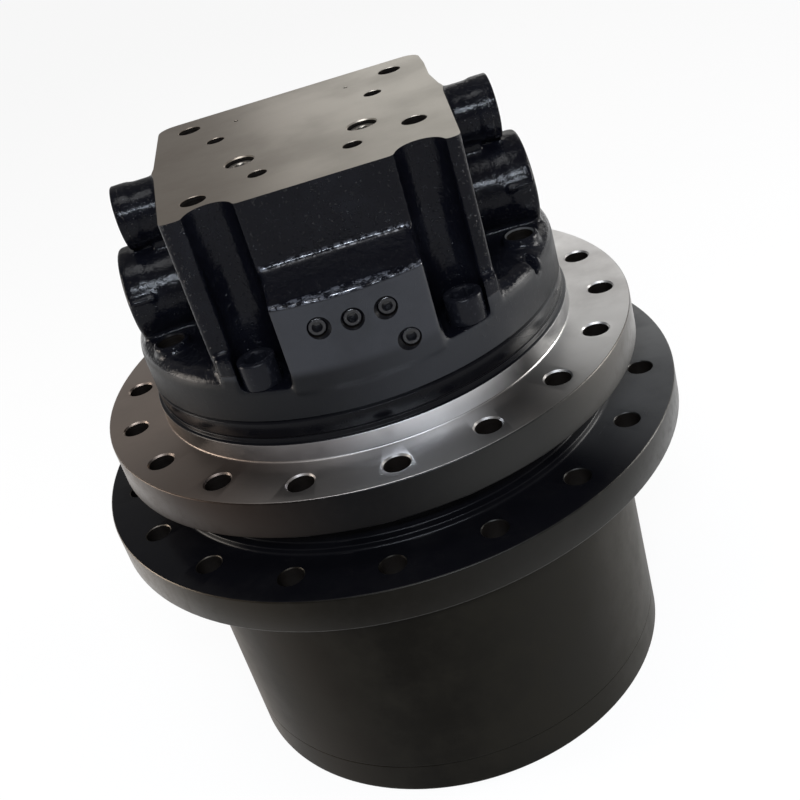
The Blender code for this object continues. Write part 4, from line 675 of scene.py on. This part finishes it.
def boltCircleTree():
    build, source = newTree("boltCircle", [
        ("Tool", "NodeSocketObject", None), ("Count", "NodeSocketInt", 18),
        ("Circle Radius", "NodeSocketFloat", 0.18), ("Turn", "NodeSocketFloat", 0.0),
        ("Material", "NodeSocketMaterial", None)])
    tool = build.node("GeometryNodeObjectInfo", {"transform_space": "ORIGINAL"}, Object=source.out("Tool"))
    circle = build.node("GeometryNodeMeshCircle", {}, Vertices=source.out("Count"),
                        Radius=source.out("Circle Radius"))
    turned = build.node("GeometryNodeTransform", {}, Geometry=circle.out("Mesh"),
                        Rotation=build.point(0.0, 0.0, source.out("Turn")))
    painted = build.node("GeometryNodeSetMaterial", {}, Geometry=tool.out("Geometry"),
                         Material=source.out("Material"))
    spots = build.node("GeometryNodeInstanceOnPoints", {}, Points=turned.out("Geometry"),
                       Instance=painted.out("Geometry"))
    real = build.node("GeometryNodeRealizeInstances", {}, spots.out("Instances"))
    cut = build.node("GeometryNodeMeshBoolean", {"operation": "DIFFERENCE", "solver": "EXACT"})
    build.join(source.out("Geometry"), cut.node.inputs["Mesh 1"])
    build.join(real.out("Geometry"), cut.node.inputs["Mesh 2"])
    whole = build.node("GeometryNodeRealizeInstances", {}, cut.out("Mesh"))
    build.node("NodeGroupOutput", {}, whole.out("Geometry"))
    return build.tree


def screwTree():
    build, source = newTree("screws", [
        ("Screw", "NodeSocketObject", None), ("Loose Turn", "NodeSocketFloat", 6.28),
        ("Seed", "NodeSocketInt", 3), ("Material", "NodeSocketMaterial", None)])
    screw = build.node("GeometryNodeObjectInfo", {"transform_space": "ORIGINAL"}, Object=source.out("Screw"))
    facing = build.node("GeometryNodeInputNamedAttribute", {"data_type": "FLOAT_VECTOR"}, Name="facing")
    upright = build.node("FunctionNodeAlignRotationToVector", {"axis": "Z"}, Vector=facing.out("Attribute"))
    chance = build.node("FunctionNodeRandomValue", {"data_type": "FLOAT"})
    build.join(0.0, chance.node.inputs[2])
    build.join(source.out("Loose Turn"), chance.node.inputs[3])
    build.join(source.out("Seed"), chance.node.inputs["Seed"])
    spin = build.point(0.0, 0.0, chance.out(1))
    both = build.node("FunctionNodeRotateRotation", {"rotation_space": "LOCAL"}, upright.out(0), spin)
    spots = build.node("GeometryNodeInstanceOnPoints", {}, Points=source.out("Geometry"),
                       Instance=screw.out("Geometry"), Rotation=both.out("Rotation"))
    real = build.node("GeometryNodeRealizeInstances", {}, spots.out("Instances"))
    painted = build.node("GeometryNodeSetMaterial", {}, Geometry=real.out("Geometry"),
                         Material=source.out("Material"))
    build.node("NodeGroupOutput", {}, painted.out("Geometry"))
    return build.tree


boltCircle = boltCircleTree()
screws = screwTree()


def cutBoltCircle(piece, hole, bottom, top, inside, edge):
    r, c = hole.radius, hole.chamfer
    profile = [(0, bottom - overrun), (r + c + overrun, bottom - overrun), (r, bottom + c), (r, top - c),
               (r + c + overrun, top + overrun), (0, top + overrun)]
    tool = makePiece(piece.name + "Hole", turnProfile(profile, hole.facets))
    step = piece.modifiers.new("boltCircle", "NODES")
    step.node_group = boltCircle
    setInputs(step, Tool=tool, Count=hole.count, CircleRadius=hole.circle, Turn=hole.turn,
              Material=finishes[inside])
    settle(piece)
    bpy.data.objects.remove(tool)
    names = [material.name for material in piece.data.materials]
    for face in piece.data.polygons:
        if face.material_index == names.index(inside) and not bottom + c < face.center.z < top - c:
            face.material_index = names.index(edge)


# the countersink of a hexagon socket, as shares of the socket's half width
socketLead = Settings(depth=0.25, inner=0.82, outer=1.12, facets=24)


def placeScrews(name, size, spots, material, seed):
    r, h = size.radius, size.length
    profile = roundOff([(0, -h, 0), (r, -h, 0), (r, 0, size.edge), (0, 0, 0)])
    screw = makePiece(name + "Screw", turnProfile(profile, size.facets))
    s, lead = size.socket, socketLead
    flats = [polar(s, pi * k / 3) for k in range(6)]
    cone = turnProfile([(0, -s * lead.depth), (s * lead.inner, -s * lead.depth),
                        (s * lead.outer, overrun / 4), (0, overrun / 4)], lead.facets)
    boolean(screw, [extrude(flats, -size.depth, overrun), cone])
    settle(screw)
    points = bpy.data.meshes.new(name)
    points.from_pydata([place for place, way in spots], [], [])
    facing = points.attributes.new("facing", "FLOAT_VECTOR", "POINT")
    for item, (place, way) in zip(facing.data, spots):
        item.vector = way
    piece = addObject(name, points)
    step = piece.modifiers.new("screws", "NODES")
    step.node_group = screws
    setInputs(step, Screw=screw, Seed=seed, Material=finishes[material])
    settle(piece)
    bpy.data.objects.remove(screw)
    return piece


# Gear housing: drum, sprocket flange and labyrinth ring

housing = Settings(
    bottom=0.0263, drum=0.1755, flangeLow=0.208, flangeHigh=0.234, flange=0.2225, flangeSupport=0.006,
    collar=0.177, collarTop=0.239, labyrinth=0.171, labyrinthInner=0.161, top=0.260, shelf=0.243, seat=0.150,
    seatLow=0.1567, relief=0.145, teethTop=0.1316, blank=0.12925, segments=160,
    margins=Settings(seat=0.001, rim=0.0009, paint=0.0002),
    hole=Settings(radius=0.009, chamfer=0.0006, count=18, circle=0.198, turn=radians(-16.2), facets=28),
    ring=Settings(module=0.005, teeth=54, pressure=radians(25), thinning=0.00035, inward=0.00375,
                  outward=0.006),
)


def ringTeeth():
    ring = housing.ring
    teeth, pressure = ring.teeth, ring.pressure
    pitch = teeth * ring.module / 2
    base = pitch * cos(pressure)
    half = pi / (2 * teeth) + ring.thinning / (2 * pitch)

    def spread(radius):
        angle = acos(min(1, base / radius))
        return half + (sin(pressure) / cos(pressure) - pressure) - (sin(angle) / cos(angle) - angle)

    radii = [pitch - ring.inward, pitch, pitch + ring.outward]
    points = []
    for tooth in range(teeth):
        middle = 2 * pi * tooth / teeth
        points += [polar(radius, middle - spread(radius)) for radius in radii]
        points += [polar(radius, middle + spread(radius)) for radius in reversed(radii)]
    return points


def makeHousing():
    h = housing
    profile = roundOff([
        (h.blank, h.bottom, 0), (h.drum, h.bottom, seamEdge), (h.drum, h.bottom + seamSupport, 0),
        (h.drum, h.flangeLow - h.flangeSupport, 0), (h.drum, h.flangeLow, 0.004),
        (h.flange, h.flangeLow, 0.0014), (h.flange, h.flangeHigh, 0.0014), (h.collar, h.flangeHigh, 0.002),
        (h.collar, h.collarTop, 0.001), (h.labyrinth, h.collarTop, 0.0012), (h.labyrinth, h.top, 0.0015),
        (h.labyrinthInner, h.top, 0.001), (h.labyrinthInner, h.shelf, 0), (h.seat, h.shelf, 0),
        (h.seat, h.seatLow, 0), (h.relief, h.seatLow, 0), (h.relief, h.teethTop, 0),
        (h.blank, h.teethTop, 0)])
    piece = makePiece("gearHousing", turnProfile(profile, h.segments), "paintSatin", "paintSmooth",
                      "steelGround", "rimLower")
    boolean(piece, [extrude(ringTeeth(), h.bottom - overrun, h.teethTop + overrun)])
    settle(piece)
    cutBoltCircle(piece, h.hole, h.flangeLow, h.flangeHigh, "holeDark", "rimLower")
    m = h.margins

    def choose(radius, z):
        if radius < h.seat + m.seat and z < h.shelf:
            return 2
        if radius > h.flange - m.rim:
            return 3
        return int(z > h.flangeHigh - m.paint and radius < h.flange - m.paint)

    paintFaces(piece, choose)
    stand(piece, "hub", "housing_paint", "gear_housing")


makeHousing()
print("gear housing made")


# End cover with its bolts and oil plugs

endCover = Settings(
    radius=0.1755, height=0.026, edge=0.002, dish=0.072, dishDepth=0.004, dishSlope=0.004, dishEdge=0.003,
    spigot=0.12825, spigotTop=0.030, spigotWall=0.012, floor=0.021, segments=160, boltCircle=0.160,
    boltCount=12, pocket=0.0115, pocketDepth=0.012,
    bolt=Settings(radius=0.009, length=0.011, edge=0.0009, socket=0.0081, depth=0.006, facets=28),
    plugCircle=0.112, plugHole=0.0123, plugLead=0.001, plugRecess=0.002,
    plug=Settings(radius=0.012, length=0.016, edge=0.0008, socket=0.006, depth=0.008, facets=32),
)


def makeEndCover():
    e = endCover
    inner = e.spigot - e.spigotWall
    profile = roundOff([
        (0, e.dishDepth, 0), (e.dish, e.dishDepth, e.dishEdge), (e.dish + e.dishSlope, 0, e.dishEdge),
        (e.radius, 0, e.edge), (e.radius, e.edge + seamSupport, 0), (e.radius, e.height - seamSupport, 0),
        (e.radius, e.height, seamEdge), (e.spigot, e.height, 0), (e.spigot, e.spigotTop, 0),
        (inner, e.spigotTop, 0), (inner, e.floor, 0), (0, e.floor, 0)])
    piece = makePiece("endCover", turnProfile(profile, e.segments), "paintSatin")
    tools = []
    boltSpots = []
    for k in range(e.boltCount):
        x, y = polar(e.boltCircle, 2 * pi * (k + 0.5) / e.boltCount)
        tools.append(movedTo(cylinder(e.pocket, -overrun, e.pocketDepth, e.bolt.facets), x, y))
        boltSpots.append(((x, y, e.pocketDepth - e.bolt.length), (0, 0, -1)))
    plugSpots = []
    for side in (-1, 1):
        y = side * e.plugCircle
        hole = turnProfile([
            (0, -overrun), (e.plugHole + overrun, -overrun), (e.plugHole, e.plugLead),
            (e.plugHole, e.height + overrun), (0, e.height + overrun)], e.plug.facets)
        tools.append(movedTo(hole, 0, y))
        plugSpots.append(((0, y, e.plugRecess), (0, 0, -1)))
    boolean(piece, tools)
    settle(piece)
    stand(piece, "hub", "housing_paint", "end_cover")
    bolts = placeScrews("endCoverBolts", e.bolt, boltSpots, "blackOxide", 5)
    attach(bolts, "hub")
    plugs = placeScrews("oilPlugs", e.plug, plugSpots, "steelPlug", 8)
    stand(plugs, "hub", "plug_steel", "oil_plug_1", "oil_plug_2")


makeEndCover()
print("end cover made")


# Motor casing: spindle, frame flange and pilot collar

boltAngles = [radians(a) for a in (-118, -60, 22, 60, 120, 158)]
casing = Settings(
    segments=160, flange=0.200, low=0.267, high=0.295, pilot=0.1567, pilotTop=0.309, neck=0.1545, top=0.3125,
    bore=0.030, spindleLow=0.1442, thread=0.104, threadTop=0.1570, bearing=0.110, bearingLow=0.1573,
    bearingTop=0.2176, sealSeat=0.128, lipInner=0.150, lip=0.159, lipLow=0.2453, chamber=0.088,
    chamberFloor=0.1800, shaftSeat=0.045, shaftSeatFloor=0.1622, boltCircle=0.141, boltHole=0.0093,
    boltDepth=0.030, boltFacets=16,
    margins=Settings(top=0.0005, neck=0.0016, rim=0.0006, root=0.001),
    hole=Settings(radius=0.009, chamfer=0.0011, count=18, circle=0.180, turn=radians(10), facets=32),
)


def makeCasing():
    c = casing
    profile = roundOff([
        (c.bore, c.spindleLow, 0), (c.thread, c.spindleLow, 0.001), (c.thread, c.threadTop, 0),
        (c.bearing, c.bearingLow, 0), (c.bearing, c.bearingTop, 0), (c.sealSeat, c.bearingTop, 0.001),
        (c.sealSeat, c.low, 0.003), (c.lipInner, c.low, 0.001), (c.lipInner, c.lipLow, 0.0008),
        (c.lip, c.lipLow, 0.001), (c.lip, c.low, 0.002), (c.flange, c.low, 0.0012),
        (c.flange, c.high, 0.0013), (c.pilot, c.high, 0.0012), (c.pilot, c.pilotTop, 0.0012),
        (c.neck, c.pilotTop, 0.0006), (c.neck, c.top, 0.0006), (c.chamber, c.top, 0.001),
        (c.chamber, c.chamberFloor, 0.002), (c.shaftSeat, c.chamberFloor, 0),
        (c.shaftSeat, c.shaftSeatFloor, 0), (c.bore, c.shaftSeatFloor, 0)])
    piece = makePiece("motorCasing", turnProfile(profile, c.segments), "steelTurned", "paintSmooth",
                      "rimUpper", "rimPilot")
    boolean(piece, [
        movedTo(cylinder(c.boltHole, c.top - c.boltDepth, c.top + overrun, c.boltFacets),
                *polar(c.boltCircle, angle)) for angle in boltAngles])
    settle(piece)
    cutBoltCircle(piece, c.hole, c.low, c.high, "holeDark", "steelTurned")
    m = c.margins

    def choose(radius, z):
        if z > c.pilotTop - m.top and radius > c.neck - m.neck:
            return 1
        if radius > c.flange - m.rim:
            return 2
        return 3 if c.high + m.root < z < c.pilotTop and radius > c.pilot - m.rim else 0

    paintFaces(piece, choose)
    stand(piece, "frame_side", "machined_steel", "motor_casing")


makeCasing()
print("motor casing made")


# Rear cover: a casting with machined faces, holes and seats

cover = Settings(
    bottom=0.3128, radius=0.1545, bandTop=0.3262, groove=0.3248, grooveSlope=0.0012, grooveDepth=0.0014,
    shoulder=0.3598, shoulderEdge=0.0115, top=0.463, segments=160, spigot=0.0877, spigotLow=0.3065,
    bearing=0.02794, bearingTop=0.3307,
    # the block above the foot
    side=0.1028, waist=0.1006, back=0.107, front=0.118, frontSide=0.0945, corner=0.012, nose=0.004,
    # the panel in front, and the ledge that slopes up from it to the block
    panelRadius=0.156, panelLeft=-0.0465, panelRight=0.050, panelTop=0.4048, panelRoot=-0.011,
    ledgeRise=0.013, ledgeToe=-0.1465, ledgeCrest=0.0006,
    # the bolts' pockets, and the low feet beside them
    pocketLeft=-0.0641, pocketRight=0.0685, pocketHalf=0.0163, pocketY=-0.1195, pocketFloor=0.3478,
    spotRadius=0.0147, spotFacets=32, footFrom=-0.100, footTop=0.3712, footInset=0.0005,
    footLeft=(-0.0915, -0.0790), footRight=(0.0842, 0.0945),
    # the bosses of spool and relief valves, with the web and the mould lines
    bossY=-0.005, webHalf=0.013, webReach=0.1185, bossFacets=64, spoolZ=0.383, spoolBoss=0.0345,
    spoolReach=0.1462, spoolCollar=0.0357, spoolCollarFrom=0.1290, spoolEdge=0.003, reliefZ=0.440,
    reliefBoss=0.0219, reliefReach=0.1285, reliefCollar=0.0229, reliefCollarFrom=0.1215, mouldZ=0.390,
    mouldFrom=0.126, mouldHigh=0.0026, mouldProud=0.0018, mouldStop=0.001,
    # angle, half width, inner radius and floor of the notches for a pry bar
    notches=[(radians(-34.5), 0.0045, 0.1430, 0.347)], drainRim=0.0130, drainRimTop=0.3655,
    drainRimFacets=32,
    # radius, depth, chamfer and facets of the bored seats
    drainSeat=(0.0092, 0.022, 0.0012, 28), gaugeSeat=(0.0064, 0.017, 0.0012, 24),
    spoolSeat=(0.0226, 0.036, 0.0012, 40), reliefSeat=(0.0157, 0.049, 0.0006, 32),
    # how deep added forms begin inside others, and how far the cuts run out of the metal
    sunk=Settings(block=0.015, ledge=0.01, foot=0.01, rim=0.02),
    out=Settings(plate=0.05, slab=0.04, spot=0.02, pocket=0.01, notch=0.01, notchTop=0.003),
    slabGap=0.0005, voxel=0.0016, smooth=8, soften=0.5, keep=0.40, castOver=0.006,
)
coverHoles = Settings(
    large=Settings(radius=0.0085, depth=0.028, chamfer=0.0003,
                   places=[(-0.078, 0.080), (0.077, 0.079), (-0.073, -0.089), (0.074, -0.061)]),
    small=Settings(radius=0.0065, depth=0.022, chamfer=0.0003,
                   places=[(-0.058, 0.032), (0.058, 0.031), (-0.031, -0.073), (0.0315, -0.073)]),
    port=Settings(radius=0.0100, depth=0.020, chamfer=0.0008, places=[(-0.042, -0.036), (0.042, -0.036)]),
    dot=Settings(radius=0.0016, depth=0.003, chamfer=0.0002, places=[(-0.042, 0.068), (0.042, 0.068)]),
)
gaugePlaces = [(-0.0215, 0.386), (0.0005, 0.386), (0.0225, 0.386), (0.0315, 0.361)]
drainAngles = [radians(-25), radians(-155)]
drainCircle = 0.137
farOut = 0.3  # beyond every side of the part


def holeTool(radius, low, high, chamfer, facets=28):
    # its wall leaves the second finish; the chamfer and the floor leave the first
    bm = turnProfile([(0, low), (radius, low), (radius, high - chamfer),
                      (radius + chamfer + overrun, high + overrun), (0, high + overrun)], facets)
    for face in bm.faces:
        face.material_index = int(max(vert.co.xy.length for vert in face.verts) < radius + 1e-5)
    return bm


def blockPlan():
    c = cover
    corner, nose = c.corner, c.nose
    side, back, fore = c.side - corner, c.back - corner, c.frontSide - nose
    jog = c.back / 3
    plan = arc((-fore, nose - c.front), nose, -pi, -pi / 2, 4)
    plan += arc((fore, nose - c.front), nose, -pi / 2, 0, 4)
    plan += [(c.side, 0), (c.waist, jog), (c.side, 2 * jog)]
    plan += arc((side, back), corner, 0, pi / 2, 6) + arc((-side, back), corner, pi / 2, pi, 6)
    plan += [(-c.side, 0)]
    return plan


def pocketPlan(x):
    half = cover.pocketHalf
    reach = -cover.panelRadius - cover.out.pocket
    return arc((x, cover.pocketY), half, 0, pi, 12) + [(x - half, reach), (x + half, reach)]


def ledgeFill():
    c = cover
    low, high = c.panelTop - c.sunk.ledge, c.panelTop + c.ledgeRise
    root = c.ledgeRise - c.front
    outline = [(root, low), (root, high), (-c.front, high),
               (c.ledgeToe, c.panelTop + c.ledgeCrest), (c.ledgeToe, low)]
    turn = Matrix(((0, 0, 1, 0), (1, 0, 0, 0), (0, 1, 0, 0), (0, 0, 0, 1)))
    return moved(extrude(outline, c.panelLeft, c.panelRight), turn)


def bossProfile(radius, collar, start, reach, edge):
    step = collar - radius
    return turnProfile(roundOff([
        (0, -reach, 0), (collar, -reach, edge), (collar, -start, 0), (radius, -start + step, 0),
        (radius, start - step, 0), (collar, start, 0), (collar, reach, edge), (0, reach, 0)]),
        cover.bossFacets)


def frontAt(x, radius):
    return -sqrt(radius ** 2 - x ** 2)


def castForms():
    c = cover
    sunk = c.sunk
    radius, left, right = c.panelRadius, c.panelLeft, c.panelRight
    panel = arc((0, 0), radius, -pi + acos(-left / radius), -acos(right / radius), 14)
    panel += [(right, c.panelRoot), (left, c.panelRoot)]
    spool = bossProfile(c.spoolBoss, c.spoolCollar, c.spoolCollarFrom, c.spoolReach, c.spoolEdge)
    relief = bossProfile(c.reliefBoss, c.reliefCollar, c.reliefCollarFrom, c.reliefReach + c.castOver, 0)
    web = rectangle(-c.webReach, c.webReach, c.bossY - c.webHalf, c.bossY + c.webHalf)
    forms = [
        extrude(blockPlan(), c.shoulder - sunk.block, c.top + c.castOver),
        extrude(panel, c.shoulder - sunk.block, c.panelTop),
        ledgeFill(),
        extrude(web, c.spoolZ, c.reliefZ),
        moved(spool, pointAlongX(0, c.bossY, c.spoolZ, 1)),
        moved(relief, pointAlongX(0, c.bossY, c.reliefZ, 1)),
    ]
    front = c.bossY - sqrt(c.spoolCollar ** 2 - (c.mouldZ - c.spoolZ) ** 2) - c.mouldProud
    for side in (-1, 1):
        near, far = sorted((side * c.mouldFrom, side * (c.spoolReach - c.mouldStop)))
        line = rectangle(near, far, front, c.bossY)
        forms.append(extrude(line, c.mouldZ, c.mouldZ + c.mouldHigh))
    for left, right in (c.footLeft, c.footRight):
        plan = [(x, frontAt(x, c.radius - c.footInset)) for x in (left, (left + right) / 2, right)]
        plan += [(right, c.footFrom), (left, c.footFrom)]
        forms.append(extrude(plan, c.shoulder - sunk.foot, c.footTop))
    for angle in drainAngles:
        rim = cylinder(c.drainRim, c.shoulder - sunk.rim, c.drainRimTop, c.drainRimFacets)
        forms.append(movedTo(rim, *polar(drainCircle, angle)))
    return forms


def castCuts():
    c = cover
    out = c.out
    above = c.top + out.spot
    cuts = [extrude(pocketPlan(x), c.pocketFloor, above) for x in (c.pocketLeft, c.pocketRight)]
    for angle in boltAngles[2:]:
        spot = cylinder(c.spotRadius, c.pocketFloor, above, c.spotFacets)
        cuts.append(movedTo(spot, *polar(casing.boltCircle, angle)))
    for angle, half, inner, floor in c.notches:
        plan = rectangle(inner, c.radius + out.notch, -half, half)
        notch = extrude(plan, floor, c.shoulder + out.notchTop)
        cuts.append(moved(notch, Matrix.Rotation(angle, 4, "Z")))
    return cuts


def castBlank():
    c = cover
    base = c.bandTop - c.castOver
    profile = roundOff([(0, base, 0), (c.radius, base, 0), (c.radius, c.shoulder, c.shoulderEdge),
                        (0, c.shoulder, 0)], 6)
    blank = makePiece("coverCasting", turnProfile(profile, c.segments), "paintCast")
    boolean(blank, castForms(), "UNION")
    boolean(blank, castCuts())
    remesh = blank.modifiers.new("skin", "REMESH")
    remesh.mode = "VOXEL"
    remesh.voxel_size = c.voxel
    remesh.use_smooth_shade = True
    soften = blank.modifiers.new("soften", "SMOOTH")
    soften.factor = c.soften
    soften.iterations = c.smooth
    thin = blank.modifiers.new("thin", "DECIMATE")
    thin.ratio = c.keep
    settle(blank, smooth=0)
    return blank


def seatTool(size):
    radius, depth, chamfer, facets = size
    return holeTool(radius, -depth, 0, chamfer, facets)


def machineCover(blank):
    c = cover
    out = c.out
    plate = rectangle(-farOut, farOut, -farOut, farOut)
    tools = [("steelMilled", "steelMilled", extrude(plate, c.top, c.top + out.plate)),
             ("paintSmooth", "paintSmooth", extrude(plate, c.bandTop - out.plate, c.bandTop))]
    for hole in coverHoles.values():
        for place in hole.places:
            tool = holeTool(hole.radius, c.top - hole.depth, c.top, hole.chamfer)
            tools.append(("steelMilled", "holeDark", movedTo(tool, *place)))
    for angle in drainAngles:
        radius, depth, chamfer, facets = c.drainSeat
        tool = holeTool(radius, c.shoulder - depth, c.drainRimTop, chamfer, facets)
        tools.append(("paintSmooth", "holeDark", movedTo(tool, *polar(drainCircle, angle))))
    for x, z in gaugePlaces:
        turn = Matrix.Translation((x, frontAt(x, c.panelRadius), z)) @ Matrix.Rotation(pi / 2, 4, "X")
        tools.append(("paintSmooth", "holeDark", moved(seatTool(c.gaugeSeat), turn)))
    for side in (-1, 1):
        end, far = sorted((side * c.reliefReach, side * farOut))
        slab = extrude(rectangle(end, far, -farOut, farOut), c.spoolZ + c.spoolBoss + c.slabGap,
                       c.top + out.slab)
        tools.append(("paintCast", "paintCast", slab))
        spot = pointAlongX(side * c.spoolReach, c.bossY, c.spoolZ, side)
        tools.append(("paintSmooth", "paintSmooth", moved(seatTool(c.spoolSeat), spot)))
        spot = pointAlongX(side * c.reliefReach, c.bossY, c.reliefZ, side)
        tools.append(("steelGround", "steelGround", moved(seatTool(c.reliefSeat), spot)))
    boolean(blank, [tool[2] for tool in tools], looks=[tool[:2] for tool in tools])
    settle(blank, smooth=38)


def makeCover():
    c = cover
    blank = castBlank()
    print("cover casting:", len(blank.data.polygons), "faces")
    machineCover(blank)
    radius, tuck, lid = c.radius, 0.0002, 0.02  # the band ends inside the casting
    band = roundOff([
        (0, c.bearingTop, 0), (c.bearing, c.bearingTop, 0), (c.bearing, c.spigotLow, 0.0006),
        (c.spigot, c.spigotLow, 0.001), (c.spigot, c.bottom, 0), (radius, c.bottom, 0.001),
        (radius, c.groove - c.grooveSlope, 0.0003), (radius - c.grooveDepth, c.groove, 0),
        (radius - tuck, c.bandTop - tuck, 0), (0, c.bandTop + lid, 0)], 2)
    ring = makePiece("coverBand", turnProfile(band, c.segments), "paintSmooth")
    bm = bmesh.new()
    bm.from_mesh(blank.data)
    shift = len(blank.data.materials)
    blank.data.materials.append(finishes["paintSmooth"])
    start = len(bm.faces)
    bm.from_mesh(ring.data)
    bm.faces.ensure_lookup_table()
    for face in bm.faces[start:]:
        face.material_index = shift
    bm.to_mesh(blank.data)
    bm.free()
    bpy.data.objects.remove(ring)
    stand(blank, "frame_side", "cover_paint", "rear_cover")


makeCover()
print("rear cover made")


# Fasteners and plugs of the rear cover

fittings = Settings(
    bolt=Settings(radius=0.0128, length=0.018, edge=0.0013, socket=0.0081, depth=0.011, facets=40),
    gauge=Settings(radius=0.006, length=0.014, edge=0.0011, socket=0.0034, depth=0.005, facets=24),
    drain=Settings(radius=0.0089, length=0.010, edge=0.0008, socket=0.005, depth=0.006, facets=32),
    port=Settings(radius=0.0087, length=0.014, edge=0.0008, socket=0.005, depth=0.007, facets=32),
    cap=Settings(radius=0.022, length=0.032, edge=0.0012, socket=0.0105, depth=0.010, facets=48),
    relief=Settings(radius=0.0228, length=0.005, edge=0.0010, socket=0.009, depth=0.0035, facets=48),
    portRecess=0.0025, capRecess=0.003, gaugeRecess=0.002, drainRecess=0.0077,
)


def makeFittings():
    c, f = cover, fittings
    up = (0, 0, 1)
    head = c.pocketFloor + seatGap + f.bolt.length
    spots = [((*polar(casing.boltCircle, angle), head), up) for angle in boltAngles]
    bolts = placeScrews("coverBolts", f.bolt, spots, "blackOxide", 11)
    stand(bolts, "frame_side", "black_fastener", *["cover_bolt_" + str(k + 1) for k in range(6)])
    spots = [((x, frontAt(x, c.panelRadius) + f.gaugeRecess, z), (0, -1, 0)) for x, z in gaugePlaces]
    gauges = placeScrews("gaugePlugs", f.gauge, spots, "plugGloss", 4)
    stand(gauges, "frame_side", "black_fastener", *["gauge_plug_" + str(k + 1) for k in range(4)])
    spots = [((*polar(drainCircle, angle), c.shoulder - f.drainRecess), up) for angle in drainAngles]
    drains = placeScrews("drainPortPlugs", f.drain, spots, "blackOxide", 6)
    stand(drains, "frame_side", "black_fastener", "drain_port_plug_1", "drain_port_plug_2")
    spots = [((x, y, c.top - f.portRecess), up) for x, y in coverHoles.port.places]
    ports = placeScrews("portPlugs", f.port, spots, "steelPlug", 9)
    stand(ports, "frame_side", "plug_steel", "port_plug_1", "port_plug_2")
    reliefOut = c.reliefReach + f.relief.length + seatGap
    for label, key, look, reach, z, node in (
            ("spoolCaps", "cap", "blackOxide", c.spoolReach - f.capRecess, c.spoolZ, "spool_cap_"),
            ("reliefCaps", "relief", "paintCast", reliefOut, c.reliefZ, "relief_valve_")):
        spots = [((side * reach, c.bossY, z), (side, 0, 0)) for side in (-1, 1)]
        pair = placeScrews(label, f[key], spots, look, 2)
        stand(pair, "frame_side", "black_fastener", node + "left", node + "right")


makeFittings()
print("fittings made")


# The nodes that stay as they are

nodeLooks = {
    "steelPolished": ("main_bearing", "shaft_bearing", "floating_seal"),
    "bronzeBare": ("valve_plate", "brake_disc"),
    "steelGround": ("planet", "sun", "carrier", "motor_shaft", "cylinder", "retainer", "piston", "swash",
                    "bearing_nut", "brake_p", "counterbalance"),
}


def dressNodes():
    for name, node in frame["nodes"].items():
        for material, starts in nodeLooks.items():
            if name.startswith(starts):
                node.data.materials.clear()
                node.data.materials.append(finishes[material])


def makeFloor():
    half = 12
    mesh = bpy.data.meshes.new("floor")
    mesh.from_pydata([(x, y, 0) for x, y in rectangle(-half, half, -half, half)], [], [(0, 1, 2, 3)])
    mesh.materials.append(finishes["floorPale"])
    floor = addObject("floor", mesh)


dressNodes()
makeFloor()
